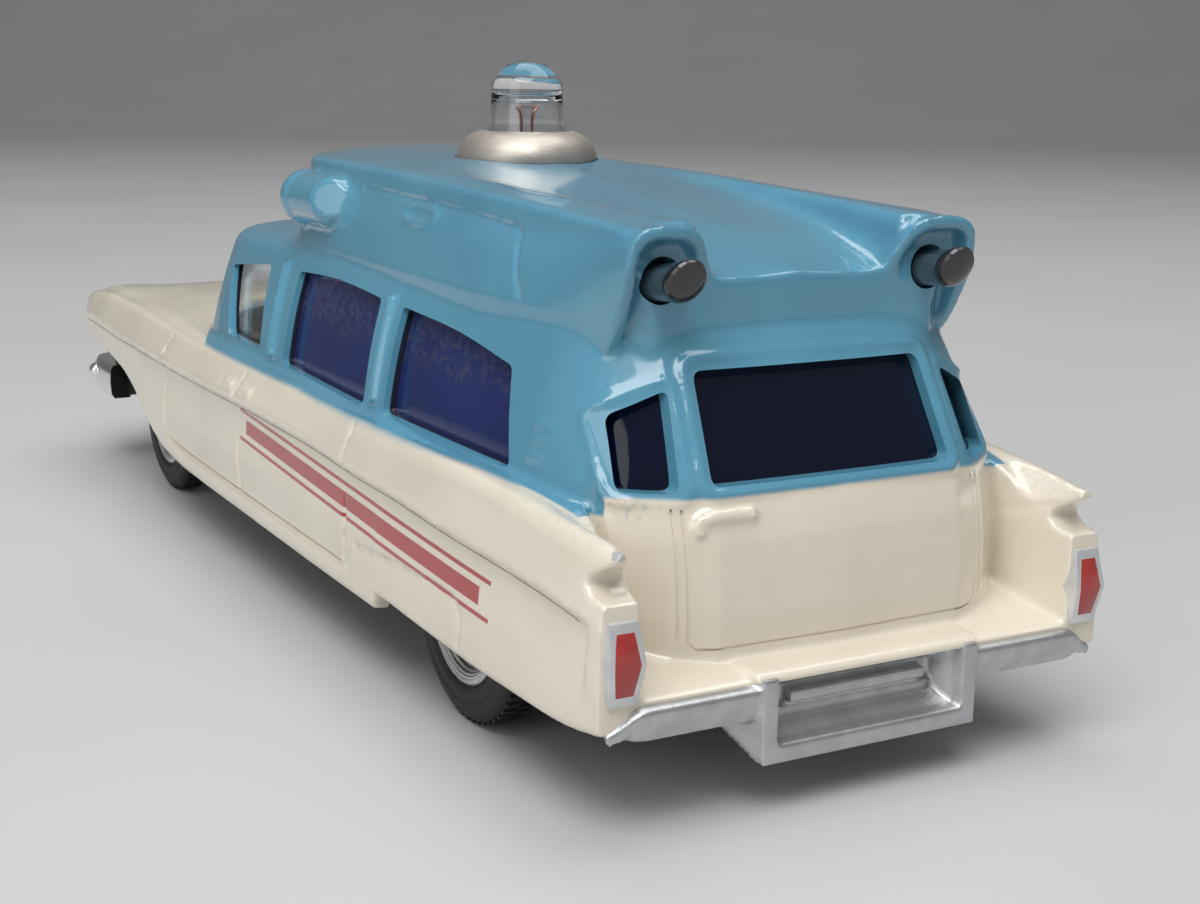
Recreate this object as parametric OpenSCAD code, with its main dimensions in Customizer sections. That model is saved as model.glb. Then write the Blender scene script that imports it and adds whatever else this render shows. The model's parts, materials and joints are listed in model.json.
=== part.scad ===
// Toy ambulance: die-cast shell on a tinplate base, moulded glazing, a lit roof beacon fed by a cell,
// rolling wheels and a steerable front axle. Millimetres. +X forward, +Y left, +Z up, ground at z = 0.

/* [Body casting] */
// overall length, front bumper to rear step
body_len = 127; // [123:1:131]
// overall width across the doors
body_w = 41; // [40:0.5:43]
// height of the raised roof under the beacon
roof_h = 37.8; // [37:0.2:39]
// thickness of the casting
wall = 1.4; // [1.2:0.1:1.6]
// thickness of the window mouldings
glass_t = 0.9; // [0.7:0.1:1.1]

/* [Running gear] */
// diameter of a tyre
tyre_d = 16.6; // [16.2:0.2:17]
// width of a tyre
tyre_w = 3.2; // [2.8:0.2:4]
// thickness of a tyre from its hub to its tread
tyre_wall = 2.7; // [2.3:0.1:3.3]
// diameter of the axles
axle_d = 1.8; // [1.6:0.1:2]
// radial clearance of an axle or pivot in its bearing
run_gap = 0.05; // [0.02:0.01:0.08]
// how far the outside of a rear tyre lies inside the body's side
rear_tuck = 2.5; // [2.5:0.1:3.2]
// how far the outside of a front tyre lies inside the body's side
front_tuck = 3.7; // [3.7:0.1:4.5]
// steering angle each way
steer_deg = 9; // [5:1:10]

/* [Base and battery] */
// thickness of the tinplate base
plate_t = 0.9; // [0.7:0.1:1]
// gap between pieces that move past each other
move_gap = 0.3; // [0.3:0.05:0.5]
// diameter of the cell
cell_d = 12; // [10.5:0.5:12]
// length of the cell with its nub
cell_len = 30.2; // [28:0.1:31]
// thickness of the brass contacts
brass_t = 0.5; // [0.4:0.1:0.6]

/* [Beacon and roof lamps] */
// diameter of the bulb's glass
bulb_d = 6.56; // [6:0.1:7]
// height of the bulb above the roof
bulb_top = 8.2; // [7.6:0.1:8.6]
// diameter of the collar's foot
collar_d = 11.6; // [11:0.2:12.4]
// height of the collar
collar_h = 2.5; // [2:0.1:3]
// diameter of a rear roof lamp
lamp_d = 2.5; // [2.2:0.1:2.8]

/* [Hidden] */
$fn = 48;
// the tables below are for this length, width and tyre; heights above the waist fill what the roof leaves
kx = body_len / 127;
ky = body_w / 41;
kz = tyre_d / 16.6;
waist_z = 19.5 * kz;
ku = (roof_h - waist_z) / 18.3;
tyre_r = tyre_d / 2;
rear_half_track = body_w / 2 - rear_tuck;
front_half_track = body_w / 2 - front_tuck;
hub_r = tyre_r - tyre_wall;
axle_r = axle_d / 2;
front_x = 37.1 * kx;
rear_x = -40.2 * kx;
beacon_x = -14.6 * kx;
plate_z = 6.2 * kz;
plate_top = plate_z + plate_t;
roof_under = roof_h - wall;

// lower body stations: x, edge z, sill y, crease y and z, shoulder y and z, deck y and z, middle z
low_st = [
  [62.3, 13.6, 17.2, 18.0, 15.4, 17.2, 16.9, 14.5, 17.3, 17.2],
  [61.0, 13.1, 18.4, 19.0, 15.8, 18.1, 18.1, 15.2, 18.6, 18.2],
  [58.0, 13.0, 19.1, 19.3, 16.1, 18.2, 18.9, 15.8, 19.5, 19.2],
  [52.0, 13.1, 19.5, 19.6, 16.1, 18.3, 19.2, 16.0, 19.6, 20.2],
  [44.0, 12.3, 19.7, 19.8, 15.9, 18.4, 19.2, 15.8, 19.5, 20.8],
  [38.3, 10.7, 19.8, 19.9, 15.9, 18.5, 19.1, 15.8, 19.5, 21.0],
  [35.2, 8.9, 19.8, 20.0, 15.8, 18.6, 19.0, 16.0, 19.5, 21.0],
  [31.0, 7.2, 19.8, 20.1, 15.8, 18.7, 18.9, 16.5, 19.5, 20.8],
  [27.0, 6.3, 19.9, 20.2, 15.8, 18.8, 18.8, 17.2, 19.4, 20.5],
  [18.0, 5.7, 20.0, 20.3, 15.8, 19.0, 18.7, 18.0, 19.2, 20.0],
  [0.0, 5.8, 20.2, 20.5, 16.0, 19.1, 18.7, 18.2, 19.2, 20.0],
  [-15.0, 6.2, 20.3, 20.5, 15.9, 19.2, 18.8, 18.3, 19.2, 20.0],
  [-30.0, 6.7, 20.3, 20.5, 15.4, 19.3, 19.0, 18.3, 19.3, 20.0],
  [-42.0, 6.8, 20.2, 20.4, 14.9, 19.3, 19.2, 18.2, 19.4, 20.0],
  [-50.0, 6.7, 20.0, 20.2, 14.6, 19.2, 19.4, 17.8, 19.3, 20.0],
  [-55.0, 6.6, 19.9, 20.0, 14.3, 19.0, 19.3, 17.4, 18.6, 19.6],
  [-58.6, 6.4, 19.8, 19.9, 14.0, 18.7, 18.9, 16.6, 16.6, 17.0],
  [-61.2, 6.3, 19.6, 19.6, 13.6, 18.4, 18.2, 15.6, 15.4, 15.4],
  [-62.5, 6.2, 19.4, 19.4, 13.4, 18.3, 17.8, 15.2, 15.0, 15.0]
];

// plan of the greenhouse at the waist and under the roof, front middle to rear middle
cant_z = up(28.0);
waist_plan = [
  [31.5, 0], [30.6, 6], [28, 11], [23, 15.2], [16.5, 17.2], [0, 17.6], [-20, 17.7], [-38, 17.4],
  [-47, 17.0], [-52, 16.4], [-55.0, 15.2], [-57.4, 12.4], [-58.6, 9.5], [-58.9, 0]
];
cant_plan = [
  [26.3, 0], [25.8, 5], [24.3, 9.5], [22.3, 12.4], [18.5, 14.1], [0, 14.7], [-20, 14.9], [-38, 14.7],
  [-45, 14.4], [-49, 14.0], [-51.6, 13.2], [-53.3, 11.2], [-54.2, 8.6], [-54.5, 0]
];

// raised roof stations: x, base y, edge y and z, ridge y and z, valley y and z, middle z
roof_st = [
  [14.6, 2.4, 1.6, 36.0, 1.2, 36.3, 0.6, 36.5, 36.5],
  [13.2, 5.8, 5.0, 36.4, 4.0, 36.8, 2.5, 37.0, 37.1],
  [9.6, 10.0, 9.0, 36.7, 7.5, 37.0, 4.0, 37.3, 37.4],
  [4.0, 13.2, 11.8, 36.7, 10.0, 37.0, 5.5, 37.5, 37.7],
  [-6.0, 14.0, 12.2, 36.6, 10.3, 37.0, 5.5, 37.6, 37.8],
  [-14.6, 14.3, 12.3, 36.5, 10.3, 36.9, 5.0, 37.6, 37.8],
  [-24.0, 14.6, 12.4, 36.3, 10.2, 36.7, 4.5, 37.0, 37.2],
  [-35.0, 14.7, 12.5, 36.0, 9.8, 36.3, 5.0, 35.9, 36.0],
  [-45.0, 14.2, 12.8, 35.7, 9.0, 35.9, 6.0, 34.4, 34.3],
  [-51.0, 13.5, 13.1, 35.5, 8.4, 35.7, 6.6, 33.0, 32.9],
  [-53.9, 10.8, 13.2, 35.3, 8.1, 35.5, 6.9, 32.2, 32.2]
];
roof_foot = up(27.2);
roof_side = up(29.6);
roof_front = roof_st[0][0] * kx;
roof_rear = roof_st[len(roof_st) - 1][0] * kx;

// side windows as seen from the side, x and z of each corner
side_windows = [
  [[12.6, 20.1], [17.3, 26.0], [6.5, 27.1], [3.1, 20.0]],
  [[-3.2, 19.8], [-1.2, 27.4], [-19.5, 27.5], [-20.9, 19.65]],
  [[-25.7, 19.56], [-24.3, 27.2], [-42.3, 25.4], [-44.9, 19.78]]
];
// windows as seen from the front or the rear, y and z of each corner
windscreen = [[-15.4, 20.3], [15.4, 20.3], [13.0, 26.6], [-13.0, 26.6]];
rear_window = [[-9.3, 19.8], [9.3, 19.8], [8.8, 26.5], [-8.8, 26.5]];
quarter_window = [[11.4, 19.5], [14.4, 19.6], [13.9, 24.0], [10.8, 25.4]];
corner_r = 0.6;
// thickness of the outlines that hulls are stretched between
slice_t = 0.2;

// cell, cradle and hatch
cell_x0 = -31.6 * kx;
cell_x1 = cell_x0 + cell_len;
cell_z = plate_top + 0.2 + cell_d / 2;
cradle_t = 1.3;
cradle_half = cell_d / 2 + 1.2;
cradle_x0 = cell_x0 - brass_t;
cradle_x1 = cell_x1 + brass_t;
hatch_axis_x = cradle_x0 - 3.4;
hatch_x1 = cradle_x1 + 0.4;
hatch_half = cradle_half - move_gap;
hinge_r = 0.95;
hatch_axis_z = plate_z + hinge_r;
knuckle_w = 1.6;
hinge_pin_r = 0.45;

// steering bracket
pivot_r = 1.4;
bracket_t = 0.8;
bracket_half = front_half_track - tyre_w - 2.8;
ear_x = 2.2;
bracket_top = tyre_r + axle_r + 2.2;
pin_head_t = 0.6;
pin_head_r = 2.2;
side_play = 0.15;

// lamp holder
bulb_cap_r = 2.5;
socket_r = 3.3;
socket_low = roof_under - 5.6;
tip_z = socket_low + 0.2;
collar_seat = roof_h - 0.8;
collar_bore = bulb_d / 2 + 0.1;
glass_foot = roof_h + 0.9;
contact_z = socket_low - 0.8 - brass_t;

// rear roof lamps: where the axis of a lamp starts, its length and its tilt
lamp_x = -50.4 * kx;
lamp_y = 10.45 * ky;
lamp_z = up(31.6);
lamp_len = 6.6;
lamp_tilt = 8;

// roof pods: the cast cylinder at the front; at the rear, y and z of each round and its reach
front_pod_x = -9.2 * kx;
front_pod_r = 2.3;
rear_pod = [[9.2, 34.3, 5.4], [12.2, 34.2, 5.4], [9.6, 30.6, 4.2], [12.2, 30.6, 4.2], [12.3, 28.2, 2.6]];
rear_pod_r = 1.05;

// posts, rivets, and the clearance of pieces that are pressed or cemented in
post_r = 2.2;
front_post_x = 50 * kx;
rear_post_x = -52.8 * kx;
rivet_r = 0.9;
fit_gap = 0.02;
rivet_head_r = 1.7;
rivet_head_t = 0.5;
shell_sides = 24;

// front opening for the grille, the dash, the joint between the two window mouldings, and the lamp's cam
grille_half = 16.6 * ky;
grille_high = 16.4 * kz;
grille_back = 58.6 * kx;
dash_x = 21.5 * kx;
column_r = 0.6;
split_x = 0.6 * kx;
cam_r = 2;
cam_off = 0.6;

// a height above the waist, moved to the present roof
function up(z) = waist_z + (z - 19.5) * ku;

// moves a table row to the present size
function low_row(s) = [
  s[0] * kx, s[1] * kz, s[2] * ky, s[3] * ky, s[4] * kz,
  s[5] * ky, s[6] * kz, s[7] * ky, s[8] * kz, s[9] * kz
];

// half a lower body section, from the middle of its bottom to the middle of its top
function low_half(s) = [
  [0, s[1]], [s[2] - 1.0, s[1]], [s[2], s[1] + 0.9], [s[3] - 0.2, s[4] - 1.2], [s[3], s[4] - 0.4],
  [s[3] - 0.05, s[4] + 0.3], [s[5] + 0.35, s[6] - 0.8], [s[5], s[6] - 0.1], [s[5] - 0.9, s[6] + 0.05],
  [s[7], s[8]], [0, s[9]]
];

// half a section of the hollow inside it, open at the bottom
function hollow_half(s) = [
  [0, -2], [s[2] - wall, -2], [s[2] - wall, s[1]], [s[3] - wall - 0.1, s[4] - 0.6],
  [s[5] - wall, s[6] - wall - 0.8], [s[7] - wall, s[8] - wall], [0, s[9] - wall]
];

// half a raised roof section, from the middle of its foot to the middle of its top
function roof_half(s) = [
  [0, roof_foot], [s[1] * ky, roof_foot], [s[1] * ky, roof_side],
  [(s[2] * 0.8 + s[1] * 0.2) * ky, up(s[3] - 2)],
  [s[2] * ky, up(s[3] - 0.7)],
  [(s[2] * 0.95 + s[4] * 0.05) * ky, up(s[3] - 0.1)],
  [(s[2] * 0.7 + s[4] * 0.3) * ky, up(s[3] + 0.15)],
  [s[4] * ky, up(s[5])], [s[6] * ky, up(s[7])], [0, up(s[8])]
];

// the plan of the greenhouse at a height between waist and roof
function plan_at(z) = let (t = (z - waist_z) / (cant_z - waist_z)) [
  for (i = [0:len(waist_plan) - 1])
    let (p = waist_plan[i] * (1 - t) + cant_plan[i] * t) [p[0] * kx, p[1] * ky]
];

// closes a half outline by its mirror image; the first and last points lie on the middle line
function both_sides(h) = concat(h, [for (i = [len(h) - 2:-1:1]) [-h[i][0], h[i][1]]]);
function both_plan(h) = concat(h, [for (i = [len(h) - 2:-1:1]) [h[i][0], -h[i][1]]]);

// radius of a bore in the shell whose flats clear a round of radius r
function shell_bore(r) = (r + fit_gap) / cos(180 / shell_sides);

function unit(v) = v / max(norm(v), 1e-6);
function left_of(v) = [-v[1], v[0]];

// moves an anticlockwise outline inwards by d
function drawn_in(r, d) = [
  for (i = [0:len(r) - 1])
    let (
      n = len(r),
      a = left_of(unit(r[i] - r[(i + n - 1) % n])),
      b = left_of(unit(r[(i + 1) % n] - r[i]))
    ) r[i] + (a + b) * d / max(0.4, 1 + a * b)
];

// skins a stack of rings, each with the same number of points
module skin(rings) {
  n = len(rings[0]);
  m = len(rings);
  points = [for (r = rings) for (p = r) p];
  sides = [
    for (i = [0:m - 2]) for (j = [0:n - 1]) each [
      [i * n + j, i * n + (j + 1) % n, (i + 1) * n + (j + 1) % n],
      [i * n + j, (i + 1) * n + (j + 1) % n, (i + 1) * n + j]
    ]
  ];
  first = [for (j = [n - 1:-1:0]) j];
  last = [for (j = [0:n - 1]) (m - 1) * n + j];
  polyhedron(points, concat(sides, [first, last]));
}

module lower_solid() {
  rows = [for (s = low_st) low_row(s)];
  skin([for (s = rows) [for (p = both_sides(low_half(s))) [s[0], p[0], p[1]]]]);
}

module lower_hollow() {
  rows = [for (s = low_st) if (s[0] < 61.5 && s[0] > -58) low_row(s)];
  skin([
    for (s = rows) [
      for (p = both_sides(hollow_half(s))) [min(s[0], 60.2 * kx), p[0], p[1]]
    ]
  ]);
}

// joins flat outlines, each [z, points], by the hull of each pair of neighbours
module stacked(slices) {
  for (i = [0:len(slices) - 2])
    hull() for (k = [i, i + 1])
      translate([0, 0, slices[k][0]]) linear_extrude(slice_t) polygon(slices[k][1]);
}

// the greenhouse with its cab roof, or with d above 0 the form that lies d inside it
module greenhouse(d, low) {
  waist = drawn_in(both_plan(plan_at(waist_z)), d);
  cant = both_plan(plan_at(cant_z));
  stacked([
    [low, waist],
    [waist_z, waist],
    [cant_z - d * 0.3, drawn_in(cant, d)],
    [cant_z + 1.1 * ku - d * 0.8, drawn_in(cant, 1.3 + d)],
    [cant_z + 1.8 * ku - d, drawn_in(cant, 4 + d)]
  ]);
}

// the body behind the load floor, down from the waist to the rear bumper
module rear_body() {
  rear_half = concat([[-40, 0]], [for (i = [8:len(waist_plan) - 1]) waist_plan[i]]);
  rear_low = [for (p = rear_half) [p[0] < -52 ? p[0] - 1.4 : p[0], p[1]]];
  stacked([
    [8.95 * kz, both_plan([for (p = rear_low) [p[0] * kx, p[1] * ky]])],
    [waist_z, both_plan([for (p = rear_half) [p[0] * kx, p[1] * ky]])]
  ]);
}

// the raised roof, or with d above 0 the form that lies d inside it and is open below
module raised_roof(d) {
  rings = [
    for (s = roof_st)
      let (
        x = min(roof_front - d, max(roof_rear + d, s[0] * kx)),
        ring = drawn_in(both_sides(roof_half(s)), min(d, s[2] * 0.6))
      )
      [for (p = ring) [x, p[0], d > 0 && p[1] < roof_side - 0.1 ? roof_foot - d : p[1]]]
  ];
  skin(rings);
}

// a flat outline with round corners, cut through along an axis
module rounded_prism(corners, depth) {
  linear_extrude(depth, center = true) hull() for (c = corners) translate(c) circle(corner_r, $fn = 16);
}

// the corners moved in by the corner radius, towards the outline's middle
function tucked(c) = let (m = (c[0] + c[1] + c[2] + c[3]) / 4) [
  for (p = c) p + [corner_r * sign(m[0] - p[0]), corner_r * sign(m[1] - p[1])]
];

module side_window_cuts() {
  for (w = side_windows)
    rotate([90, 0, 0])
      rounded_prism(tucked([for (p = w) [p[0] * kx, up(p[1])]]), body_w * 2);
}

module end_window_cut(corners, x) {
  translate([x, 0, 0])
    rotate([90, 0, 90])
      rounded_prism(tucked([for (p = corners) [p[0] * ky, up(p[1])]]), 14 * kx);
}

module quarter_window_cuts() {
  for (s = [1, -1])
    scale([1, s, 1]) end_window_cut(quarter_window, -54.5 * kx);
}

// clears the space between the tail lamp pods, behind the rear door
module rear_cut() {
  translate([-70 * kx, -14.6 * ky, 2]) cube([12 * kx, 29.2 * ky, 20 * kz]);
}

module fin_notch() {
  rotate([90, 0, 0])
    linear_extrude(body_w * 2, center = true)
      polygon([[-64 * kx, 17.3 * kz], [-60.4 * kx, 15.7 * kz], [-64 * kx, 14.7 * kz]]);
}

module tail_lamp() {
  lamp_mid = 11.2 * kz;
  translate([0, 17.9 * ky, 0])
    rotate([90, 0, 0])
      linear_extrude(2.6 * ky, center = true)
        polygon([
          [-61 * kx, lamp_mid + 2.9], [-62.5 * kx, lamp_mid + 2.7], [-62.95 * kx, lamp_mid],
          [-62.5 * kx, lamp_mid - 2.9], [-61 * kx, lamp_mid - 3]
        ]);
}

module rear_bumper() {
  rotate([90, 0, 0])
    linear_extrude(38.6 * ky, center = true)
      polygon([
        [-58 * kx, 9.8 * kz], [-60.1 * kx, 9.4 * kz], [-62.7 * kx, 8.5 * kz], [-62.9 * kx, 7.6 * kz],
        [-62.5 * kx, 6.25 * kz], [-58 * kx, 6.5 * kz]
      ]);
}

// the projecting frame for a number plate under the rear door
module rear_step() {
  front = -60 * kx;
  depth = 3.5 * kx;
  low = 3.3 * kz;
  high = 8.5 * kz;
  half = 8.3 * ky;
  difference() {
    translate([front - depth, -half, low]) cube([depth, half * 2, high - low]);
    translate([front - depth - 1, -half + 1.3, low + 1.3]) cube([2.6, half * 2 - 2.6, high - low - 2]);
  }
}

module roof_pods() {
  for (s = [1, -1]) {
    translate([front_pod_x, s * 13.0 * ky, up(33.4)])
      rotate([0, 90, 0]) cylinder(h = 16.4 * kx, r = front_pod_r);
    hull() for (p = rear_pod)
      translate([-49.6 * kx, s * p[0] * ky, up(p[1])])
        rotate([0, -90, 0]) cylinder(h = p[2] * kx, r = rear_pod_r);
  }
}

module at_rear_lamp(s) {
  translate([lamp_x, s * lamp_y, lamp_z]) rotate([0, lamp_tilt - 90, 0]) children();
}

// posts that take the rivets, a web that stiffens the rear one, and the boss of the steering pin
module body_posts() {
  translate([front_post_x, 0, plate_top]) cylinder(h = 19.5 * kz - plate_top, r = post_r);
  translate([rear_post_x, 0, plate_top]) cylinder(h = 16 * kz - plate_top, r = post_r);
  translate([-59 * kx, -0.8, plate_top + 1]) cube([59 * kx + rear_post_x, 1.6, 16 * kz - plate_top - 1]);
  translate([front_x, 0, bracket_top + bracket_t + side_play])
    cylinder(h = 20 * kz - bracket_top - bracket_t - side_play, r = 3);
}

module body_shell() {
  $fn = shell_sides;
  color("SteelBlue") difference() {
    union() {
      difference() {
        union() {
          difference() {
            lower_solid();
            rear_cut();
            fin_notch();
          }
          rear_body();
          greenhouse(0, waist_z - 2);
          raised_roof(0);
        }
        lower_hollow();
        greenhouse(wall, waist_z - 3);
        raised_roof(wall);
        grille_opening();
      }
      roof_pods();
      for (s = [1, -1]) scale([1, s, 1]) tail_lamp();
      rear_bumper();
      rear_step();
      body_posts();
      for (s = [1, -1])
        translate([-29.4 * kx, s * 19.6 * ky - 0.6, 5.4 * kz]) cube([1.6 * kx, 1.2, 2.2 * kz]);
    }
    side_window_cuts();
    end_window_cut(windscreen, 27.5 * kx);
    end_window_cut(rear_window, -58 * kx);
    quarter_window_cuts();
    for (s = [1, -1]) at_rear_lamp(s) cylinder(h = 9, r = shell_bore(lamp_d / 2));
    translate([beacon_x, 0, roof_under - 2]) cylinder(h = 6, r = shell_bore(socket_r));
    translate([beacon_x, 0, collar_seat]) cylinder(h = 3, r = shell_bore(collar_d / 2));
    translate([front_x, 0, 0]) cylinder(h = 17.5 * kz, r = shell_bore(pivot_r));
    for (x = [front_post_x, rear_post_x])
      translate([x, 0, 0]) cylinder(h = plate_top + 5, r = shell_bore(rivet_r));
  }
}

module grille_opening() {
  translate([grille_back - 4, -grille_half, 2]) cube([20, grille_half * 2, grille_high - 2]);
}

// a headlamp in its ring, facing forward
module headlamp(y) {
  translate([grille_back + 1, y, 14.0 * kz]) rotate([0, 90, 0]) cylinder(h = 2.6, r = 1.9);
}

module grille_bumper() {
  color("Silver") {
    translate([grille_back, -grille_half, plate_top])
      cube([1.4, grille_half * 2, grille_high - plate_top]);
    for (z = [11.0, 12.0, 13.0, 14.0, 15.0])
      translate([grille_back + 1.2, -8 * ky, z * kz]) cube([0.8, 16 * ky, 0.45]);
    for (s = [1, -1]) {
      headlamp(s * 10.6 * ky);
      headlamp(s * 14.6 * ky);
      translate([61.6 * kx, s * 9.5 * ky, 8.6 * kz]) sphere(1.9);
      translate([53.5 * kx, s * 18.0 * ky - 0.6, 7.0 * kz]) cube([9 * kx, 1.2, 3.2 * kz]);
      translate([61.6 * kx, s * 18.0 * ky, 8.6 * kz]) rotate([0, 90, 0]) cylinder(h = 1.2, r = 1.4);
    }
    translate([grille_back + 1.2, -18.4 * ky, 7.0 * kz])
      cube([62.6 * kx - grille_back - 1.2, 36.8 * ky, 3.2 * kz]);
  }
}

module glazing(x0, x1) {
  intersection() {
    difference() {
      greenhouse(wall, waist_z - 1);
      greenhouse(wall + glass_t, waist_z - 2);
      raised_roof(0);
    }
    translate([x0, -body_w, waist_z - 0.8]) cube([x1 - x0, body_w * 2, cant_z - waist_z + 0.8]);
  }
}

module glazing_front() {
  color([0.85, 0.9, 0.92, 0.4]) glazing(split_x, 40 * kx);
}

module glazing_rear() {
  color([0.1, 0.15, 0.4, 0.6]) glazing(-70 * kx, split_x - 0.2);
}

module rear_roof_lamp(s) {
  color([0.25, 0.3, 0.35, 0.8]) at_rear_lamp(s) cylinder(h = lamp_len, r = lamp_d / 2);
}

module rear_roof_lamp_left() {
  rear_roof_lamp(1);
}

module rear_roof_lamp_right() {
  rear_roof_lamp(-1);
}

// half the width of the base where it lies inside the sills
function plate_half(s) = s[2] - wall - 0.15;

module base_outline() {
  rows = [for (s = low_st) if (s[0] < 26 && s[0] > -57) low_row(s)];
  left = [for (s = rows) [s[0], plate_half(s)]];
  tongue_x = 17 * kx;
  tongue_half = (front_half_track - tyre_w) * cos(steer_deg) - tyre_r * sin(steer_deg) - move_gap;
  polygon(concat(left, [for (i = [len(left) - 1:-1:0]) [left[i][0], -left[i][1]]]));
  translate([tongue_x, -tongue_half]) square([grille_back - tongue_x, tongue_half * 2]);
}

// openings for the wheels, the ears of the front axle, the cam and the hatch
module base_openings() {
  wheel_in = rear_half_track - tyre_w - move_gap;
  ear_in = (bracket_half - bracket_t / 2) * cos(steer_deg) - ear_x * sin(steer_deg) - move_gap;
  ear_swing = ear_x + (bracket_half + bracket_t) * sin(steer_deg) + move_gap;
  cam_slot = [6.8, 4.8];
  barrel_x = hatch_axis_x - hinge_r - move_gap;
  for (s = [1, -1]) {
    translate([rear_x - tyre_r - 1.2, s > 0 ? wheel_in : -wheel_in - body_w]) square([tyre_d + 2.4, body_w]);
    translate([front_x - ear_swing, s > 0 ? ear_in : -ear_in - body_w]) square([ear_swing * 2, body_w]);
  }
  translate([rear_x, 0]) square(cam_slot, center = true);
  translate([barrel_x, -cradle_half]) square([hatch_x1 + move_gap - barrel_x, cradle_half * 2]);
}

module base_plate() {
  knuckle_y = cradle_half + knuckle_w / 2;
  color("Gray") difference() {
    union() {
      translate([0, 0, plate_z]) linear_extrude(plate_t) difference() {
        base_outline();
        base_openings();
      }
      for (s = [1, -1])
        translate([hatch_axis_x, s * knuckle_y, hatch_axis_z])
          rotate([90, 0, 0]) cylinder(h = knuckle_w, r = hinge_r, center = true);
    }
    translate([hatch_axis_x, 0, hatch_axis_z])
      rotate([90, 0, 0]) cylinder(h = knuckle_y * 2 + 4, r = hinge_pin_r, center = true);
    for (x = [front_post_x, rear_post_x]) translate([x, 0, plate_z]) {
      translate([0, 0, -1]) cylinder(h = plate_t + 2, r = rivet_r);
      translate([0, 0, -1]) cylinder(h = rivet_head_t + 1, r = rivet_head_r);
    }
  }
}

module base_rivets() {
  color("DarkGray") for (x = [front_post_x, rear_post_x])
    translate([x, 0, plate_z]) {
      cylinder(h = rivet_head_t, r = rivet_head_r);
      cylinder(h = plate_t + 4, r = rivet_r);
    }
}

// cab floor, bench and dash on legs, with the load deck behind
module seat_tray() {
  floor_z = 12 * kz;
  floor_t = 0.9;
  deck_z = cell_z + cell_d / 2 + 0.5;
  deck_t = 0.8;
  back_t = 2.2;
  seat_x = cradle_x1 + cradle_t + brass_t + back_t + 0.9;
  seat_deep = (dash_x - seat_x) * 0.4;
  dash_t = 3;
  half = 13.6 * ky;
  deck_end = -49 * kx;
  leg = 2;
  color("Gray") {
    difference() {
      union() {
        translate([seat_x, -half, floor_z]) cube([dash_x + dash_t - seat_x, half * 2, floor_t]);
        translate([seat_x, -half, floor_z]) cube([seat_deep, half * 2, 4.6]);
        translate([seat_x - back_t, -half, floor_z]) cube([back_t + 0.4, half * 2, 10.6]);
        translate([dash_x, -half, floor_z]) cube([dash_t, half * 2, 5.8 * kz]);
        translate([deck_end, -half, deck_z]) cube([seat_x - back_t + 0.2 - deck_end, half * 2, deck_t]);
      }
      translate([cradle_x1 - 0.6, -2.5, deck_z - 1]) cube([3, 5, 4]);
      at_steering_wheel() steering_column(column_r + fit_gap);
    }
    for (x = [seat_x, dash_x]) for (s = [1, -1])
      translate([x, s * 8 * ky - leg / 2, plate_top]) cube([leg, leg, floor_z - plate_top + 0.1]);
    translate([deck_end + 0.5, -leg / 2, plate_top]) cube([1.2, leg, deck_z - plate_top + 0.1]);
  }
}

module at_steering_wheel() {
  translate([dash_x - 3.3 * kx, 6.6 * ky, 19.2 * kz]) rotate([0, 120, 0]) children();
}

module steering_column(r) {
  cylinder(h = 4.4, r = r);
}

module steering_wheel() {
  wheel_r = 3;
  rim_r = 0.45;
  spoke_w = 0.7;
  spoke_t = 0.6;
  color("Maroon") at_steering_wheel() {
    rotate_extrude() translate([wheel_r, 0]) circle(rim_r, $fn = 24);
    for (a = [0, 120, 240])
      rotate([0, 0, a]) translate([0, -spoke_w / 2, -spoke_t / 2]) cube([wheel_r, spoke_w, spoke_t]);
    steering_column(column_r);
  }
}

module beacon_collar() {
  color("Tan") translate([beacon_x, 0, collar_seat]) rotate_extrude()
    intersection() {
      translate([collar_bore, 0]) square([collar_d / 2 - collar_bore, roof_h - collar_seat + collar_h]);
      translate([0, -0.4]) circle(collar_d / 2 + 0.2, $fn = 96);
    }
}

module lamp_socket() {
  flange_t = 0.5;
  flange_z = roof_under - 0.6 - flange_t;
  color("Goldenrod") translate([beacon_x, 0, 0]) difference() {
    union() {
      translate([0, 0, socket_low]) cylinder(h = collar_seat - socket_low, r = socket_r);
      translate([0, 0, flange_z]) cylinder(h = flange_t, r = socket_r + 1.2);
    }
    translate([0, 0, socket_low - 1]) cylinder(h = roof_h - socket_low + 1, r = bulb_cap_r + run_gap);
  }
}

module socket_insulator() {
  color("Sienna") translate([beacon_x, 0, socket_low - 0.8]) difference() {
    cylinder(h = 0.8, r = socket_r);
    translate([0, 0, -1]) cylinder(h = 3, r = 1.5);
  }
}

module lamp_contact() {
  color("Goldenrod") {
    translate([beacon_x - 3.6, -2, contact_z]) cube([7.2, 4, brass_t]);
    translate([beacon_x, 0, contact_z]) cylinder(h = tip_z - 0.1 - contact_z, r = 1);
  }
}

module feed_strip() {
  strip_x = cradle_x1 + cradle_t;
  color("Goldenrod") {
    translate([strip_x, -1, cell_z + 1]) cube([brass_t, 2, contact_z - cell_z - 1]);
    translate([beacon_x, -1, contact_z - brass_t]) cube([strip_x + brass_t - beacon_x, 2, brass_t]);
  }
}

module battery_cradle() {
  color("Sienna") difference() {
    translate([cradle_x0 - cradle_t, -cradle_half - cradle_t, plate_top])
      cube([cradle_x1 - cradle_x0 + cradle_t * 2, (cradle_half + cradle_t) * 2, 7]);
    translate([cradle_x0, -cradle_half, plate_top - 1])
      cube([cradle_x1 - cradle_x0, cradle_half * 2, 10]);
    translate([cradle_x0 - 6, -cradle_half - 3, plate_top - 1])
      cube([6 - cradle_t + 0.001, cradle_half * 3, 1]);
  }
}

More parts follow.
